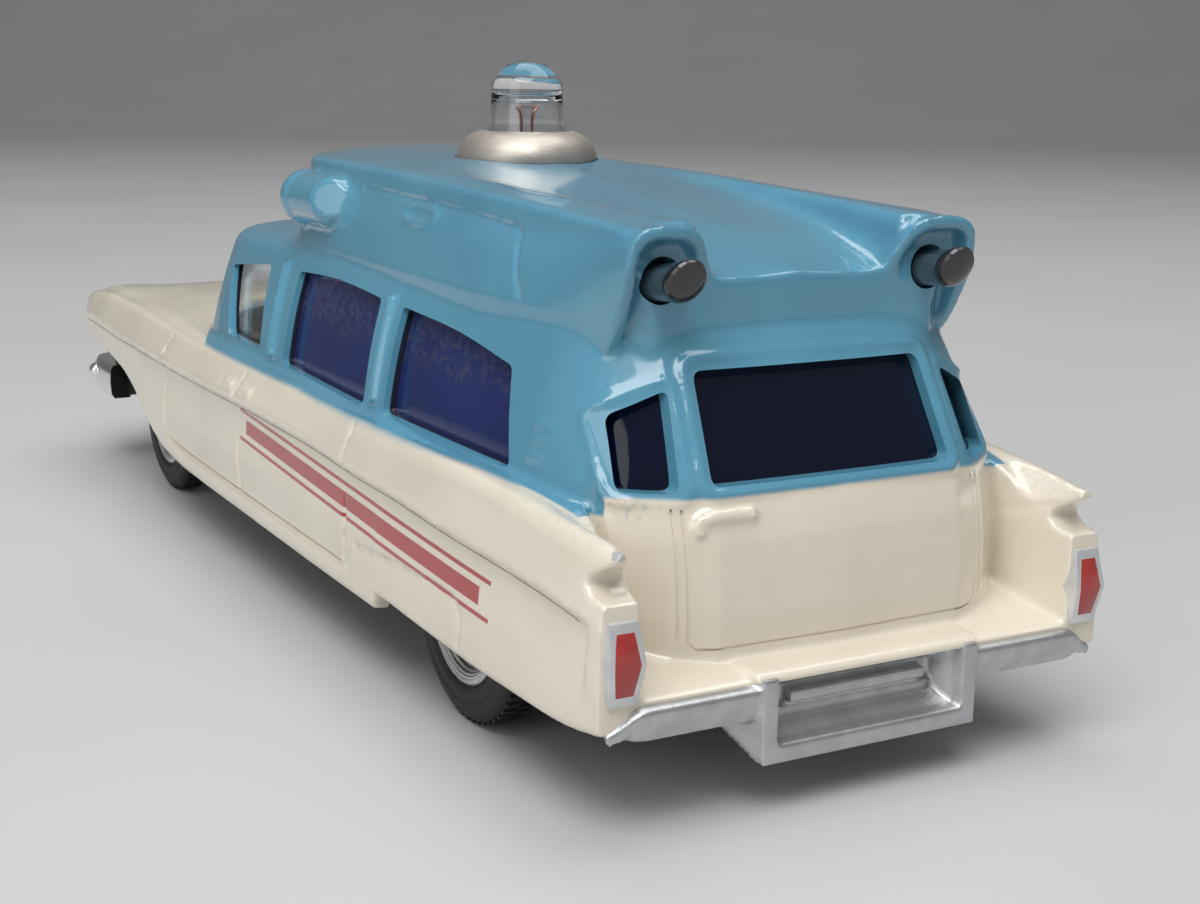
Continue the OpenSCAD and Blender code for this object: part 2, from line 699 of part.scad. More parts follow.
module battery_cell() {
  nub = 1;
  color("DarkOliveGreen") translate([cell_x0, 0, cell_z]) rotate([0, 90, 0]) {
    cylinder(h = cell_len - nub, r = cell_d / 2);
    cylinder(h = cell_len, r = 1.9);
  }
}

// a contact plate that stands inside an end wall of the cradle
module battery_contact(x) {
  translate([x, -3.5, plate_top + 1.5]) cube([brass_t, 7, cell_z + 2.5 - plate_top - 1.5]);
}

// the front one folds over the wall to meet the strip that feeds the lamp
module battery_contact_front() {
  color("Goldenrod") {
    battery_contact(cell_x1);
    translate([cell_x1, -1, cell_z + 2]) cube([brass_t + cradle_t + 0.001, 2, brass_t]);
  }
}

module battery_contact_rear() {
  color("Goldenrod") {
    battery_contact(cell_x0 - brass_t);
    translate([cradle_x0 - cradle_t - brass_t, -1, cell_z + 2]) cube([brass_t * 2 + cradle_t, 2, brass_t]);
  }
}

// the springy strip that the cam lifts against; drawn clear of it
module contact_wiper() {
  strip_z = tyre_r + cam_r + cam_off + 0.4;
  back = cradle_x0 - cradle_t - brass_t;
  color("Goldenrod") {
    translate([back, -1, strip_z]) cube([brass_t, 2, cell_z + 2 - strip_z]);
    translate([rear_x - 2, -1, strip_z]) cube([back - rear_x + 2 + brass_t, 2, 0.4]);
  }
}

module steer_pin() {
  low = bracket_top - side_play - pin_head_t;
  color("DarkGray") translate([front_x, 0, low]) {
    cylinder(h = pin_head_t, r = pin_head_r);
    cylinder(h = 17 * kz - low, r = pivot_r);
  }
}

// ears that carry an axle, bored for it
module axle_ears(x, half, low, high) {
  for (s = [1, -1])
    difference() {
      translate([x - ear_x, s * half - bracket_t / 2, low]) cube([ear_x * 2, bracket_t, high - low]);
      translate([x, s * half, tyre_r])
        rotate([90, 0, 0]) cylinder(h = 4, r = axle_r + run_gap, center = true);
    }
}

module rear_axle_bracket() {
  ear_half = rear_half_track - tyre_w - 3.1;
  foot_in = 5 * ky;
  color("DarkGray") {
    axle_ears(rear_x, ear_half, plate_top, tyre_r + axle_r + 1.2);
    for (s = [1, -1])
      translate([rear_x - ear_x, s > 0 ? foot_in : -ear_half, plate_top])
        cube([ear_x / 2, ear_half - foot_in, 0.6]);
  }
}

module hatch_pin() {
  color("Silver") translate([hatch_axis_x, 0, hatch_axis_z])
    rotate([90, 0, 0]) cylinder(h = (cradle_half + knuckle_w) * 2, r = hinge_pin_r, center = true);
}

module front_axle_bracket() {
  color("DarkGray") {
    axle_ears(front_x, bracket_half, tyre_r - axle_r - 0.8, bracket_top + bracket_t);
    difference() {
      translate([front_x - ear_x, -bracket_half, bracket_top]) cube([ear_x * 2, bracket_half * 2, bracket_t]);
      translate([front_x, 0, bracket_top - 1]) cylinder(h = 4, r = pivot_r + run_gap);
    }
  }
}

module axle(x, half) {
  color("Silver") translate([x, 0, tyre_r])
    rotate([90, 0, 0]) cylinder(h = half * 2, r = axle_r, center = true);
}

module front_axle() {
  axle(front_x, front_half_track - 0.3);
}

module rear_axle() {
  axle(rear_x, rear_half_track - 0.3);
}

// a spun hub on the left side: raised rim, dished face, centre boss
module hub(x, half) {
  inner = half - tyre_w;
  translate([x, 0, tyre_r]) rotate([-90, 0, 0]) rotate_extrude()
    polygon([
      [axle_r, inner + 0.4], [hub_r, inner + 0.4], [hub_r, half - 0.5], [hub_r - 0.5, half - 0.2],
      [hub_r - 1.1, half - 0.5], [hub_r - 1.4, half - 1.0], [2.2, half - 0.5], [axle_r, half - 0.25]
    ]);
}

module tyre(x, half) {
  edge = 0.7;
  translate([x, 0, tyre_r]) rotate([-90, 0, 0]) rotate_extrude()
    polygon([
      [hub_r, half - tyre_w], [tyre_r - edge, half - tyre_w], [tyre_r, half - tyre_w + edge],
      [tyre_r, half - edge], [tyre_r - edge, half], [hub_r, half]
    ]);
}

module front_hub_left() {
  color("Gainsboro") hub(front_x, front_half_track);
}

module front_hub_right() {
  color("Gainsboro") mirror([0, 1, 0]) hub(front_x, front_half_track);
}

module front_tyre_left() {
  color("DimGray") tyre(front_x, front_half_track);
}

module front_tyre_right() {
  color("DimGray") mirror([0, 1, 0]) tyre(front_x, front_half_track);
}

module rear_hub_left() {
  color("Gainsboro") hub(rear_x, rear_half_track);
}

module rear_hub_right() {
  color("Gainsboro") mirror([0, 1, 0]) hub(rear_x, rear_half_track);
}

module rear_tyre_left() {
  color("DimGray") tyre(rear_x, rear_half_track);
}

module rear_tyre_right() {
  color("DimGray") mirror([0, 1, 0]) tyre(rear_x, rear_half_track);
}

// an eccentric on the rear axle that makes the lamp flash as the toy rolls
module contact_cam() {
  color("Sienna") translate([rear_x, 0, tyre_r]) rotate([90, 0, 0])
    difference() {
      translate([0, cam_off, 0]) cylinder(h = 3, r = cam_r, center = true);
      cylinder(h = 5, r = axle_r, center = true);
    }
}

module battery_hatch() {
  color("Gray") difference() {
    union() {
      translate([hatch_axis_x, -hatch_half, plate_z])
        cube([hatch_x1 - hatch_axis_x, hatch_half * 2, plate_t]);
      translate([hatch_axis_x, 0, hatch_axis_z])
        rotate([90, 0, 0]) cylinder(h = hatch_half * 2, r = hinge_r, center = true);
    }
    translate([hatch_axis_x, 0, hatch_axis_z])
      rotate([90, 0, 0]) cylinder(h = body_w, r = hinge_pin_r + run_gap, center = true);
  }
}

module bulb_glass() {
  r = bulb_d / 2;
  glass = 0.5;
  top = roof_h + bulb_top;
  lens_z = top - 2.6;
  color([0.9, 0.95, 1, 0.35]) translate([beacon_x, 0, 0]) rotate_extrude() difference() {
    union() {
      translate([0, glass_foot]) square([r, lens_z - glass_foot]);
      intersection() {
        translate([0, lens_z - 1.1]) circle(r + 0.42, $fn = 96);
        translate([0, lens_z]) square([r, top - lens_z]);
      }
    }
    translate([-1, glass_foot + glass]) square([r - glass + 1, lens_z - glass_foot - glass]);
  }
}

module bulb_cap() {
  color("Goldenrod") translate([beacon_x, 0, tip_z]) {
    translate([0, 0, 0.8]) cylinder(h = glass_foot - tip_z - 0.8, r = bulb_cap_r);
    cylinder(h = 0.9, r = 0.9);
  }
}

module bulb_filament() {
  low = glass_foot + 0.5;
  color("Peru") translate([beacon_x, 0, low]) {
    for (s = [1, -1]) translate([0, s * 0.8, 0]) cylinder(h = 2.6, r = 0.18, $fn = 16);
    translate([0, 0, 2.5]) rotate([90, 0, 0]) cylinder(h = 1.8, r = 0.15, center = true, $fn = 16);
    cylinder(h = 0.9, r = 0.9);
  }
}

body_shell();
base_plate();
base_rivets();
grille_bumper();
glazing_front();
glazing_rear();
rear_roof_lamp_left();
rear_roof_lamp_right();
seat_tray();
steering_wheel();
beacon_collar();
lamp_socket();
socket_insulator();
lamp_contact();
feed_strip();
battery_cradle();
battery_cell();
battery_contact_front();
battery_contact_rear();
contact_wiper();
steer_pin();
rear_axle_bracket();
hatch_pin();
front_axle_bracket();
front_axle();
front_hub_left();
front_hub_right();
front_tyre_left();
front_tyre_right();
rear_axle();
contact_cam();
rear_hub_left();
rear_hub_right();
rear_tyre_left();
rear_tyre_right();
battery_hatch();
bulb_glass();
bulb_cap();
bulb_filament();
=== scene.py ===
"""Looks of a die-cast toy ambulance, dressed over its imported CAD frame.

A piece is shaped in millimetres, in the CAD's axes (+X forward, +Y left, +Z up).
Its finished mesh is in metres.
"""

import json
import logging
import math
from dataclasses import dataclass, field
from enum import Enum
from typing import Iterable, Sequence

import bmesh
import bpy
import numpy as np
from mathutils import Matrix, Vector

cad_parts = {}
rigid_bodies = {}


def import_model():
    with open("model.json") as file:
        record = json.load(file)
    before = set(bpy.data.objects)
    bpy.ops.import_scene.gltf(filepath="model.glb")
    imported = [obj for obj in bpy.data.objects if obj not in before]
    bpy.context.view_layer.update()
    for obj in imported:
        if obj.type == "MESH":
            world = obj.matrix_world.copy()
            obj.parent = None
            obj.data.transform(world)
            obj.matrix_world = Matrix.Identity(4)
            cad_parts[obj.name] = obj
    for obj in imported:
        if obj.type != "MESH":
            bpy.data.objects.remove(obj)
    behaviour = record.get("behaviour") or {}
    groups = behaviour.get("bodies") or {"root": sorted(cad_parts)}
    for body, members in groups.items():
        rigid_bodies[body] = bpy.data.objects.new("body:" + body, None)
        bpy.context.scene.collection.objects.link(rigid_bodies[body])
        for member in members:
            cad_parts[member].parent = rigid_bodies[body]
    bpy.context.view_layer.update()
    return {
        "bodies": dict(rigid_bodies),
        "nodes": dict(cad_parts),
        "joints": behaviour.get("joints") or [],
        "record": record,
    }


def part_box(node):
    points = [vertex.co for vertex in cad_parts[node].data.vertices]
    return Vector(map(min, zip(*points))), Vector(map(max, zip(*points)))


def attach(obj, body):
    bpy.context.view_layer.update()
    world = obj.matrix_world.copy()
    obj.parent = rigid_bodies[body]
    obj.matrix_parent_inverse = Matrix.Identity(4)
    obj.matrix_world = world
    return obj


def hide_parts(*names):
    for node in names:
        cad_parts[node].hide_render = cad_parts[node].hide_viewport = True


LOG = logging.getLogger("ambulance")
MM = 0.001
SIDE_NAMES = {1: "left", -1: "right"}
SIDES = tuple(SIDE_NAMES)
# half width of a cut that passes right through the toy
ACROSS = 30.0
Flat = tuple[float, float]
Place = tuple[float, float, float]
Colour = tuple[float, float, float]
Outline = tuple[Flat, ...]
Table = tuple[tuple[float, ...], ...]
Shape = bmesh.types.BMesh


class Cut(Enum):
    """How one solid acts on another."""

    JOIN = "UNION"
    TAKE = "DIFFERENCE"


class Along(Enum):
    """The axis that an outline is drawn across; the outline's own axes are the two others, in order."""

    X = 0
    Y = 1
    Z = 2

    def place(self, a: float, b: float, depth: float) -> Vector:
        """The point at outline place (a, b) and at depth along the axis."""
        values = [a, b]
        values.insert(self.value, depth)
        return Vector(values)


class Fair:
    """A smooth line through the values of a table, which never overshoots them."""

    def __init__(self, at: Sequence[float], values: Sequence[float]) -> None:
        """Works out the slopes of the line.

        Args:
            at: places of the values, in any order.
            values: the value at each place.
        """
        order = np.argsort(at)
        self.at = np.asarray(at, float)[order]
        self.values = np.asarray(values, float)[order]
        slope = np.diff(self.values) / np.diff(self.at)
        before, after = slope[:-1], slope[1:]
        turning = before * after <= 0
        total = np.where(turning, 1.0, before + after)
        inner = np.where(turning, 0.0, 2 * before * after / total)
        self.slopes = np.concatenate([slope[:1], inner, slope[-1:]])

    def __call__(self, place: float) -> float:
        """The value at a place; beyond the table it stays at the last one."""
        place = float(np.clip(place, self.at[0], self.at[-1]))
        i = int(np.clip(np.searchsorted(self.at, place) - 1, 0, len(self.at) - 2))
        width = self.at[i + 1] - self.at[i]
        t = (place - self.at[i]) / width
        low, high = self.values[i], self.values[i + 1]
        bend_low, bend_high = self.slopes[i] * width, self.slopes[i + 1] * width
        return float(
            low * (1 + 2 * t) * (1 - t) ** 2
            + bend_low * t * (1 - t) ** 2
            + high * t * t * (3 - 2 * t)
            + bend_high * t * t * (t - 1)
        )


def ease(value: float, low: float, high: float) -> float:
    """Rises smoothly from 0 at low to 1 at high."""
    t = min(1.0, max(0.0, (value - low) / (high - low)))
    return t * t * (3 - 2 * t)


def faired(points: Sequence[Sequence[float]], parts: int, closed: bool = False) -> list[Vector]:
    """Finds points of a smooth line that passes through the given ones.

    Args:
        points: points in the plane or in space.
        parts: pieces that each stretch is divided into.
        closed: joins the last point to the first.

    Returns:
        The points of the line, the given ones among them.
    """
    given = [Vector(p) for p in points]
    n = len(given)
    line = []
    for i in range(n if closed else n - 1):
        b, c = given[i], given[(i + 1) % n]
        a = given[i - 1] if closed or i else b
        d = given[(i + 2) % n] if closed or i + 2 < n else c
        for k in range(parts):
            t = k / parts
            square = (a * 2 - b * 5 + c * 4 - d) * t * t
            cube = (b * 3 - a - c * 3 + d) * t**3
            line.append((b * 2 + (c - a) * t + square + cube) / 2)
    if not closed:
        line.append(given[-1])
    return line


def rounded(corners: Sequence[Flat], radius: float, steps: int = 5) -> list[Flat]:
    """Rounds the corners of an outline.

    Args:
        corners: the outline's corners.
        radius: how far from a corner its curve starts.
        steps: pieces of each curve.

    Returns:
        The outline with a short curve at each corner.
    """
    outline = []
    for i, corner in enumerate(corners):
        here = Vector(corner)
        back = Vector(corners[i - 1]) - here
        ahead = Vector(corners[(i + 1) % len(corners)]) - here
        start = here + back.normalized() * min(radius, back.length / 2)
        end = here + ahead.normalized() * min(radius, ahead.length / 2)
        for k in range(steps + 1):
            t = k / steps
            point = start.lerp(here, t).lerp(here.lerp(end, t), t)
            outline.append((point.x, point.y))
    return outline


def drawn_in(outline: Sequence[Flat], depth: float) -> list[Flat]:
    """Moves an anticlockwise outline inwards by a depth."""
    points = [Vector(p) for p in outline]
    moved = []
    for i, point in enumerate(points):
        along = (points[(i + 1) % len(points)] - points[i - 1]).normalized()
        moved.append((point.x - along.y * depth, point.y + along.x * depth))
    return moved


def mirrored(half: Sequence[Flat]) -> list[Flat]:
    """Closes a half outline, whose ends lie on the middle line, with its mirror image across it."""
    return list(half) + [(-a, b) for a, b in reversed(half[1:-1])]


def section_at(x: float, half: Sequence[Flat]) -> list[Vector]:
    """The closed ring at x of a half outline in y and z."""
    return [Vector((x, y, z)) for y, z in mirrored(half)]


def headings(path: Sequence[Vector]) -> list[Vector]:
    """For each point of a path, the step from the point before it to the one after it."""
    last = len(path) - 1
    return [path[min(i + 1, last)] - path[max(i - 1, 0)] for i in range(last + 1)]


def everything(shape: Shape) -> list:
    """All vertices, edges and faces of a shape."""
    return shape.verts[:] + shape.edges[:] + shape.faces[:]


def poured(shape: Shape, name: str) -> bpy.types.Mesh:
    """A mesh of a shape, which is freed."""
    mesh = bpy.data.meshes.new(name)
    shape.to_mesh(mesh)
    shape.free()
    return mesh


def set_out(name: str, data: bpy.types.ID) -> bpy.types.Object:
    """A new object of some data, in the scene."""
    obj = bpy.data.objects.new(name, data)
    bpy.context.scene.collection.objects.link(obj)
    return obj


def loft(rings: Iterable[Sequence[Sequence[float]]]) -> Shape:
    """Draws a closed solid through rings of equal length, by extruding the first from ring to ring.

    Args:
        rings: each a list of points in space.

    Returns:
        The solid, with its faces pointing outwards.
    """
    shape = bmesh.new()
    face = None
    for ring in rings:
        if face is None:
            face = shape.faces.new([shape.verts.new(p) for p in ring])
            continue
        grown = bmesh.ops.extrude_face_region(shape, geom=[face])["geom"]
        if len(shape.faces) > len(ring) + 2:
            bmesh.ops.delete(shape, geom=[face], context="FACES_ONLY")
        face = next(g for g in grown if isinstance(g, bmesh.types.BMFace))
        for vert, place in zip(face.verts, ring):
            vert.co = place
    bmesh.ops.recalc_face_normals(shape, faces=shape.faces)
    return shape


def prism(outline: Sequence[Flat], along: Along, low: float, high: float) -> Shape:
    """A solid of one outline from low to high along an axis."""
    return loft([[along.place(a, b, depth) for a, b in outline] for depth in (low, high)])


def beam(first: Flat, second: Flat, half: float) -> Shape:
    """A box across the toy, from x and z of two opposite edges and half of its width."""
    (a, b), (c, d) = first, second
    return prism([(a, b), (c, b), (c, d), (a, d)], Along.Y, -half, half)


def tube(path: Sequence[Sequence[float]], radius: float, sides: int = 10) -> Shape:
    """Draws a round bar along a path.

    Args:
        path: points in space.
        radius: the bar's radius.
        sides: flats round the bar.

    Returns:
        The bar, closed at both ends.
    """
    points = [Vector(p) for p in path]
    turns = [2 * math.pi * k / sides for k in range(sides)]
    across = Vector((0.31, 0.22, 0.92))
    rings = []
    for point, heading in zip(points, headings(points)):
        along = heading.normalized()
        across = (across - along * across.dot(along)).normalized()
        other = along.cross(across)
        rings.append([point + (across * math.cos(a) + other * math.sin(a)) * radius for a in turns])
    return loft(rings)


def turned(profile: Sequence[Flat], centre: Sequence[float], along: Along, steps: int = 64) -> Shape:
    """Spins a profile round an axis.

    Args:
        profile: radius and place along the axis of each point; a profile that doesn't start and end
            on the axis is closed into a ring.
        centre: a point of the axis.
        along: the axis.
        steps: flats round the axis.

    Returns:
        The turned solid.
    """
    shape = bmesh.new()
    middle = Vector(centre)
    axis = Vector([float(along.value == k) for k in range(3)])
    out = Vector((0, 0, 1)) if along is not Along.Z else Vector((1, 0, 0))
    verts = [shape.verts.new(middle + out * r + axis * h) for r, h in profile]
    edges = [shape.edges.new(pair) for pair in zip(verts, verts[1:])]
    if profile[0][0] > 0 and profile[-1][0] > 0:
        edges.append(shape.edges.new((verts[-1], verts[0])))
    bmesh.ops.spin(
        shape, geom=verts + edges, cent=middle, axis=axis, angle=2 * math.pi, steps=steps, use_merge=True
    )
    bmesh.ops.remove_doubles(shape, verts=shape.verts, dist=1e-4)
    bmesh.ops.recalc_face_normals(shape, faces=shape.faces)
    return shape


def together(shapes: Iterable[Shape]) -> Shape:
    """Puts several shapes into one and frees them."""
    whole = bmesh.new()
    for shape in shapes:
        mesh = poured(shape, "part")
        whole.from_mesh(mesh)
        bpy.data.meshes.remove(mesh)
    return whole


def flipped(shape: Shape) -> Shape:
    """A copy of a shape, mirrored from one side of the toy to the other."""
    copy = shape.copy()
    bmesh.ops.scale(copy, vec=(1, -1, 1), verts=copy.verts)
    bmesh.ops.reverse_faces(copy, faces=copy.faces)
    return copy


def softened(shape: Shape, width: float, segments: int = 2, angle: float = 30.0) -> Shape:
    """Bevels the edges of a shape that are sharper than an angle in degrees."""
    sharp = [e for e in shape.edges if e.is_manifold and e.calc_face_angle() > math.radians(angle)]
    bmesh.ops.bevel(
        shape,
        geom=sharp,
        offset=width,
        affect="EDGES",
        segments=segments,
        profile=0.5,
        material=-1,
        clamp_overlap=True,
    )
    return shape


class Bench:
    """Holds one solid while others are joined to it or cut from it."""

    def __init__(self, start: Shape) -> None:
        """Puts a solid on the bench and frees it."""
        self.obj = self._held(start)

    @staticmethod
    def _held(shape: Shape) -> bpy.types.Object:
        """An object of a shape, for the time of the work."""
        return set_out("work", poured(shape, "work"))

    @staticmethod
    def _cleared(obj: bpy.types.Object) -> None:
        """Removes an object and its mesh."""
        mesh = obj.data
        bpy.data.objects.remove(obj)
        bpy.data.meshes.remove(mesh)

    def _through(self, kind: str, **settings: object) -> "Bench":
        """Sends the solid through a modifier and keeps the result as its own mesh."""
        modifier = self.obj.modifiers.new("work", kind)
        for name, value in settings.items():
            setattr(modifier, name, value)
        graph = bpy.context.evaluated_depsgraph_get()
        done = bpy.data.meshes.new_from_object(self.obj.evaluated_get(graph))
        old = self.obj.data
        self.obj.modifiers.clear()
        self.obj.data = done
        bpy.data.meshes.remove(old)
        return self

    def work(self, tool: Shape, cut: Cut) -> "Bench":
        """Joins a tool to the solid or cuts it out, and frees the tool."""
        other = self._held(tool)
        self._through("BOOLEAN", operation=cut.value, solver="MANIFOLD", object=other)
        self._cleared(other)
        return self

    def fused(self, grain: float) -> "Bench":
        """Fuses all that overlaps into one skin of small squares."""
        return self._through("REMESH", mode="VOXEL", voxel_size=grain)

    def eased(self, passes: int) -> "Bench":
        """Softens edges and corners as paint does on a casting."""
        return self._through("SMOOTH", factor=0.5, iterations=passes)

    def thinned(self, most: int) -> "Bench":
        """Merges faces until about this many triangles are left."""
        count = sum(len(p.vertices) - 2 for p in self.obj.data.polygons)
        return self._through("DECIMATE", ratio=most / count) if count > most else self

    def taken(self) -> Shape:
        """The solid, taken off the bench."""
        shape = bmesh.new()
        shape.from_mesh(self.obj.data)
        self._cleared(self.obj)
        return shape


class Field:
    """A value that varies over a surface, worked out by shader nodes; numbers and fields combine with it."""

    def __init__(self, graph: "Graph", socket: bpy.types.NodeSocket) -> None:
        """Wraps an output socket."""
        self.graph = graph
        self.socket = socket

    def _with(self, operation: str, *others: "Field | float") -> "Field":
        """Sends this field and others through a Math node."""
        node = self.graph.node("ShaderNodeMath", operation=operation)
        for slot, value in zip(node.inputs, (self, *others)):
            self.graph.feed(slot, value)
        return Field(self.graph, node.outputs[0])

    def __add__(self, other: "Field | float") -> "Field":
        """Sum."""
        return self._with("ADD", other)

    def __sub__(self, other: "Field | float") -> "Field":
        """Difference."""
        return self._with("SUBTRACT", other)

    def __mul__(self, other: "Field | float") -> "Field":
        """Product."""
        return self._with("MULTIPLY", other)

    def __neg__(self) -> "Field":
        """Opposite."""
        return self._with("MULTIPLY", -1.0)

    def __abs__(self) -> "Field":
        """Size without sign."""
        return self._with("ABSOLUTE")

    def power(self, exponent: float) -> "Field":
        """This field to a power."""
        return self._with("POWER", exponent)

    def wave(self) -> "Field":
        """Sine of this field."""
        return self._with("SINE")

    def least(self, other: "Field | float") -> "Field":
        """The smaller of two."""
        return self._with("MINIMUM", other)

    def most(self, other: "Field | float") -> "Field":
        """The larger of two."""
        return self._with("MAXIMUM", other)

    def rise(self, low: float, high: float) -> "Field":
        """Goes smoothly from 0 where the field is low to 1 where it is high."""
        node = self.graph.node("ShaderNodeMapRange", interpolation_type="SMOOTHSTEP")
        self.graph.feed(node.inputs["Value"], self)
        node.inputs["From Min"].default_value = low
        node.inputs["From Max"].default_value = high
        return Field(self.graph, node.outputs["Result"])


class Graph:
    """The nodes of one material, round a principled shader."""

    def __init__(self, name: str) -> None:
        """Starts a material."""
        self.material = bpy.data.materials.new(name)
        self.material.use_nodes = True
        self.tree = self.material.node_tree
        self.shader = self.tree.nodes["Principled BSDF"]
        self.where = self.node("ShaderNodeTexCoord").outputs["Object"]

    def node(self, kind: str, **settings: object) -> bpy.types.Node:
        """A new node with some of its settings."""
        node = self.tree.nodes.new(kind)
        for name, value in settings.items():
            setattr(node, name, value)
        return node

    def feed(
        self, slot: bpy.types.NodeSocket, value: "Field | float | Colour | bpy.types.NodeSocket"
    ) -> None:
        """Gives an input a field, another node's output, a colour or a number."""
        source = value.socket if isinstance(value, Field) else value
        if isinstance(source, bpy.types.NodeSocket):
            self.tree.links.new(source, slot)
        else:
            slot.default_value = (*source, 1) if isinstance(source, tuple) else source

    def axes(self) -> tuple[Field, Field, Field]:
        """The place on the toy, in millimetres."""
        split = self.node("ShaderNodeSeparateXYZ")
        self.tree.links.new(self.where, split.inputs[0])
        x, y, z = (Field(self, out) * (1 / MM) for out in split.outputs)
        return x, y, z

    def colour(self) -> bpy.types.NodeSocket:
        """What feeds the shader's colour so far."""
        return self.shader.inputs["Base Color"].links[0].from_socket

    def noise(self, size: float, detail: float = 2.0, stretch: Place = (1, 1, 1)) -> Field:
        """A soft random field.

        Args:
            size: size of its spots, in millimetres.
            detail: how much finer texture it has.
            stretch: how much faster it varies along each axis.

        Returns:
            The field, between 0 and 1.
        """
        mapping = self.node("ShaderNodeMapping")
        mapping.inputs["Scale"].default_value = stretch
        self.tree.links.new(self.where, mapping.inputs["Vector"])
        node = self.node("ShaderNodeTexNoise")
        node.inputs["Scale"].default_value = 1 / (size * MM)
        node.inputs["Detail"].default_value = detail
        self.tree.links.new(mapping.outputs[0], node.inputs["Vector"])
        return Field(self, node.outputs["Fac"])

    def blended(
        self, under: "Colour | bpy.types.NodeSocket", over: "Colour | bpy.types.NodeSocket", share: Field
    ) -> bpy.types.NodeSocket:
        """A colour that goes from one to another as a field rises."""
        node = self.node("ShaderNodeMix", data_type="RGBA")
        for slot, value in ((0, share), (6, under), (7, over)):
            self.feed(node.inputs[slot], value)
        return node.outputs[2]

    def shade(self, **values: "Field | float | Colour | bpy.types.NodeSocket") -> None:
        """Sets inputs of the shader, named with underscores for spaces."""
        for name, value in values.items():
            slot = name.replace("_", " ").title().replace("Ior", "IOR")
            self.feed(self.shader.inputs[slot], value)

    def relief(self, height: Field, depth: float) -> None:
        """Raises the surface by a field, to a depth in millimetres."""
        bump = self.node("ShaderNodeBump")
        bump.inputs["Distance"].default_value = depth * MM
        self.tree.links.new(height.socket, bump.inputs["Height"])
        self.tree.links.new(bump.outputs[0], self.shader.inputs["Normal"])


def distance(axes: Sequence[Field], place: Sequence[float]) -> Field:
    """How far the surface lies from a place, measured along some axes."""
    first, *others = [(axis - at).power(2.0) for axis, at in zip(axes, place)]
    for square in others:
        first = first + square
    return first.power(0.5)


@dataclass(frozen=True)
class Finish:
    """A surface with a colour that wanders a little, a gloss that varies and a fine texture."""

    name: str
    colour: Colour
    shade: Colour
    spots: float = 3.0
    gloss: tuple[float, float] = (0.3, 0.4)
    metal: float = 0.0
    texture: float = 0.01
    texture_size: float = 0.4
    stretch: Place = (1, 1, 1)
    coat: float = 0.0

    def material(self) -> bpy.types.Material:
        """The finish's material, made once."""
        known = bpy.data.materials.get(self.name)
        return known or self.made().material

    def made(self) -> Graph:
        """Draws the nodes."""
        graph = Graph(self.name)
        cloud = graph.noise(self.spots, 3.0)
        grain = graph.noise(self.texture_size, 2.0, self.stretch)
        colour = graph.blended(self.shade, self.colour, cloud.rise(0.3, 0.7))
        low, high = self.gloss
        graph.shade(base_color=colour, roughness=grain * (high - low) + low, metallic=self.metal)
        graph.shade(coat_weight=self.coat, coat_roughness=0.08)
        graph.relief(grain, self.texture)
        return graph


@dataclass(frozen=True)
class ClearFinish(Finish):
    """A finish that light passes through."""

    bend: float = 1.49
    through: float = 1.0

    def made(self) -> Graph:
        """Draws the nodes of the surface, then lets light through."""
        graph = super().made()
        graph.shade(transmission_weight=self.through, ior=self.bend)
        return graph


@dataclass(frozen=True)
class MottledFinish(ClearFinish):
    """A blue moulding, with painted shade at the rear, where the rear and quarter windows are darkened
    towards near black; its inside is pebbled behind the upper part of the side windows.
    """

    pebble: Colour = (0.085, 0.090, 0.195)
    # painted shade: the near-black colour that the rear and quarter windows are darkened to
    deep: Colour = (0.003, 0.012, 0.068)

    def made(self) -> Graph:
        """Draws the nodes, with painted shade at the rear, paler and less clear where the pebbles show."""
        graph = super().made()
        x, y, z = graph.axes()
        beside = abs(y).rise(13.0, 14.5) * (x + 51.0).rise(0.0, 2.0)
        spots = graph.noise(0.7, 2.0, (1.0, 1.0, 1.5)).rise(0.40, 0.68)
        high = (z + (graph.noise(6.0, 1.0) - 0.5) * 2.0).rise(22.6, 24.6)
        share = beside * (spots * high * 0.65 + 0.24)
        # painted shade: behind x = -50, over the rear and quarter windows, the colour goes towards near black
        behind = (-x - 50.0).rise(0.0, 1.5)
        rear_shaded_colour = graph.blended(graph.colour(), self.deep, behind)
        graph.shade(base_color=graph.blended(rear_shaded_colour, self.pebble, share))
        graph.shade(transmission_weight=-(beside * 0.35) + self.through)
        return graph


@dataclass(frozen=True)
class SmokedFinish(ClearFinish):
    """A smoked moulding that is darker towards its end."""

    end: Colour = (0.026, 0.020, 0.023)
    end_x: float = -56.2

    def made(self) -> Graph:
        """Draws the nodes, darker at the end."""
        graph = super().made()
        x, _, _ = graph.axes()
        share = (-x + self.end_x).rise(-0.15, 0.15)
        graph.shade(base_color=graph.blended(graph.colour(), self.end, share))
        return graph


@dataclass(frozen=True)
class SpunFinish(Finish):
    """Metal with the fine rings that a lathe leaves."""

    axis_x: float = 0.0
    axis_z: float = 0.0
    pitch: float = 0.22

    def made(self) -> Graph:
        """Draws the nodes, with rings round the axle."""
        graph = super().made()
        x, _, z = graph.axes()
        reach = distance((x, z), (self.axis_x, self.axis_z))
        graph.relief((reach * (2 * math.pi / self.pitch)).wave(), self.texture)
        return graph


BLUE: Colour = (0.100, 0.310, 0.440)
BLUE_DEEP: Colour = (0.088, 0.280, 0.405)
IVORY: Colour = (0.790, 0.720, 0.600)
IVORY_DEEP: Colour = (0.745, 0.675, 0.555)
RED: Colour = (0.390, 0.024, 0.020)


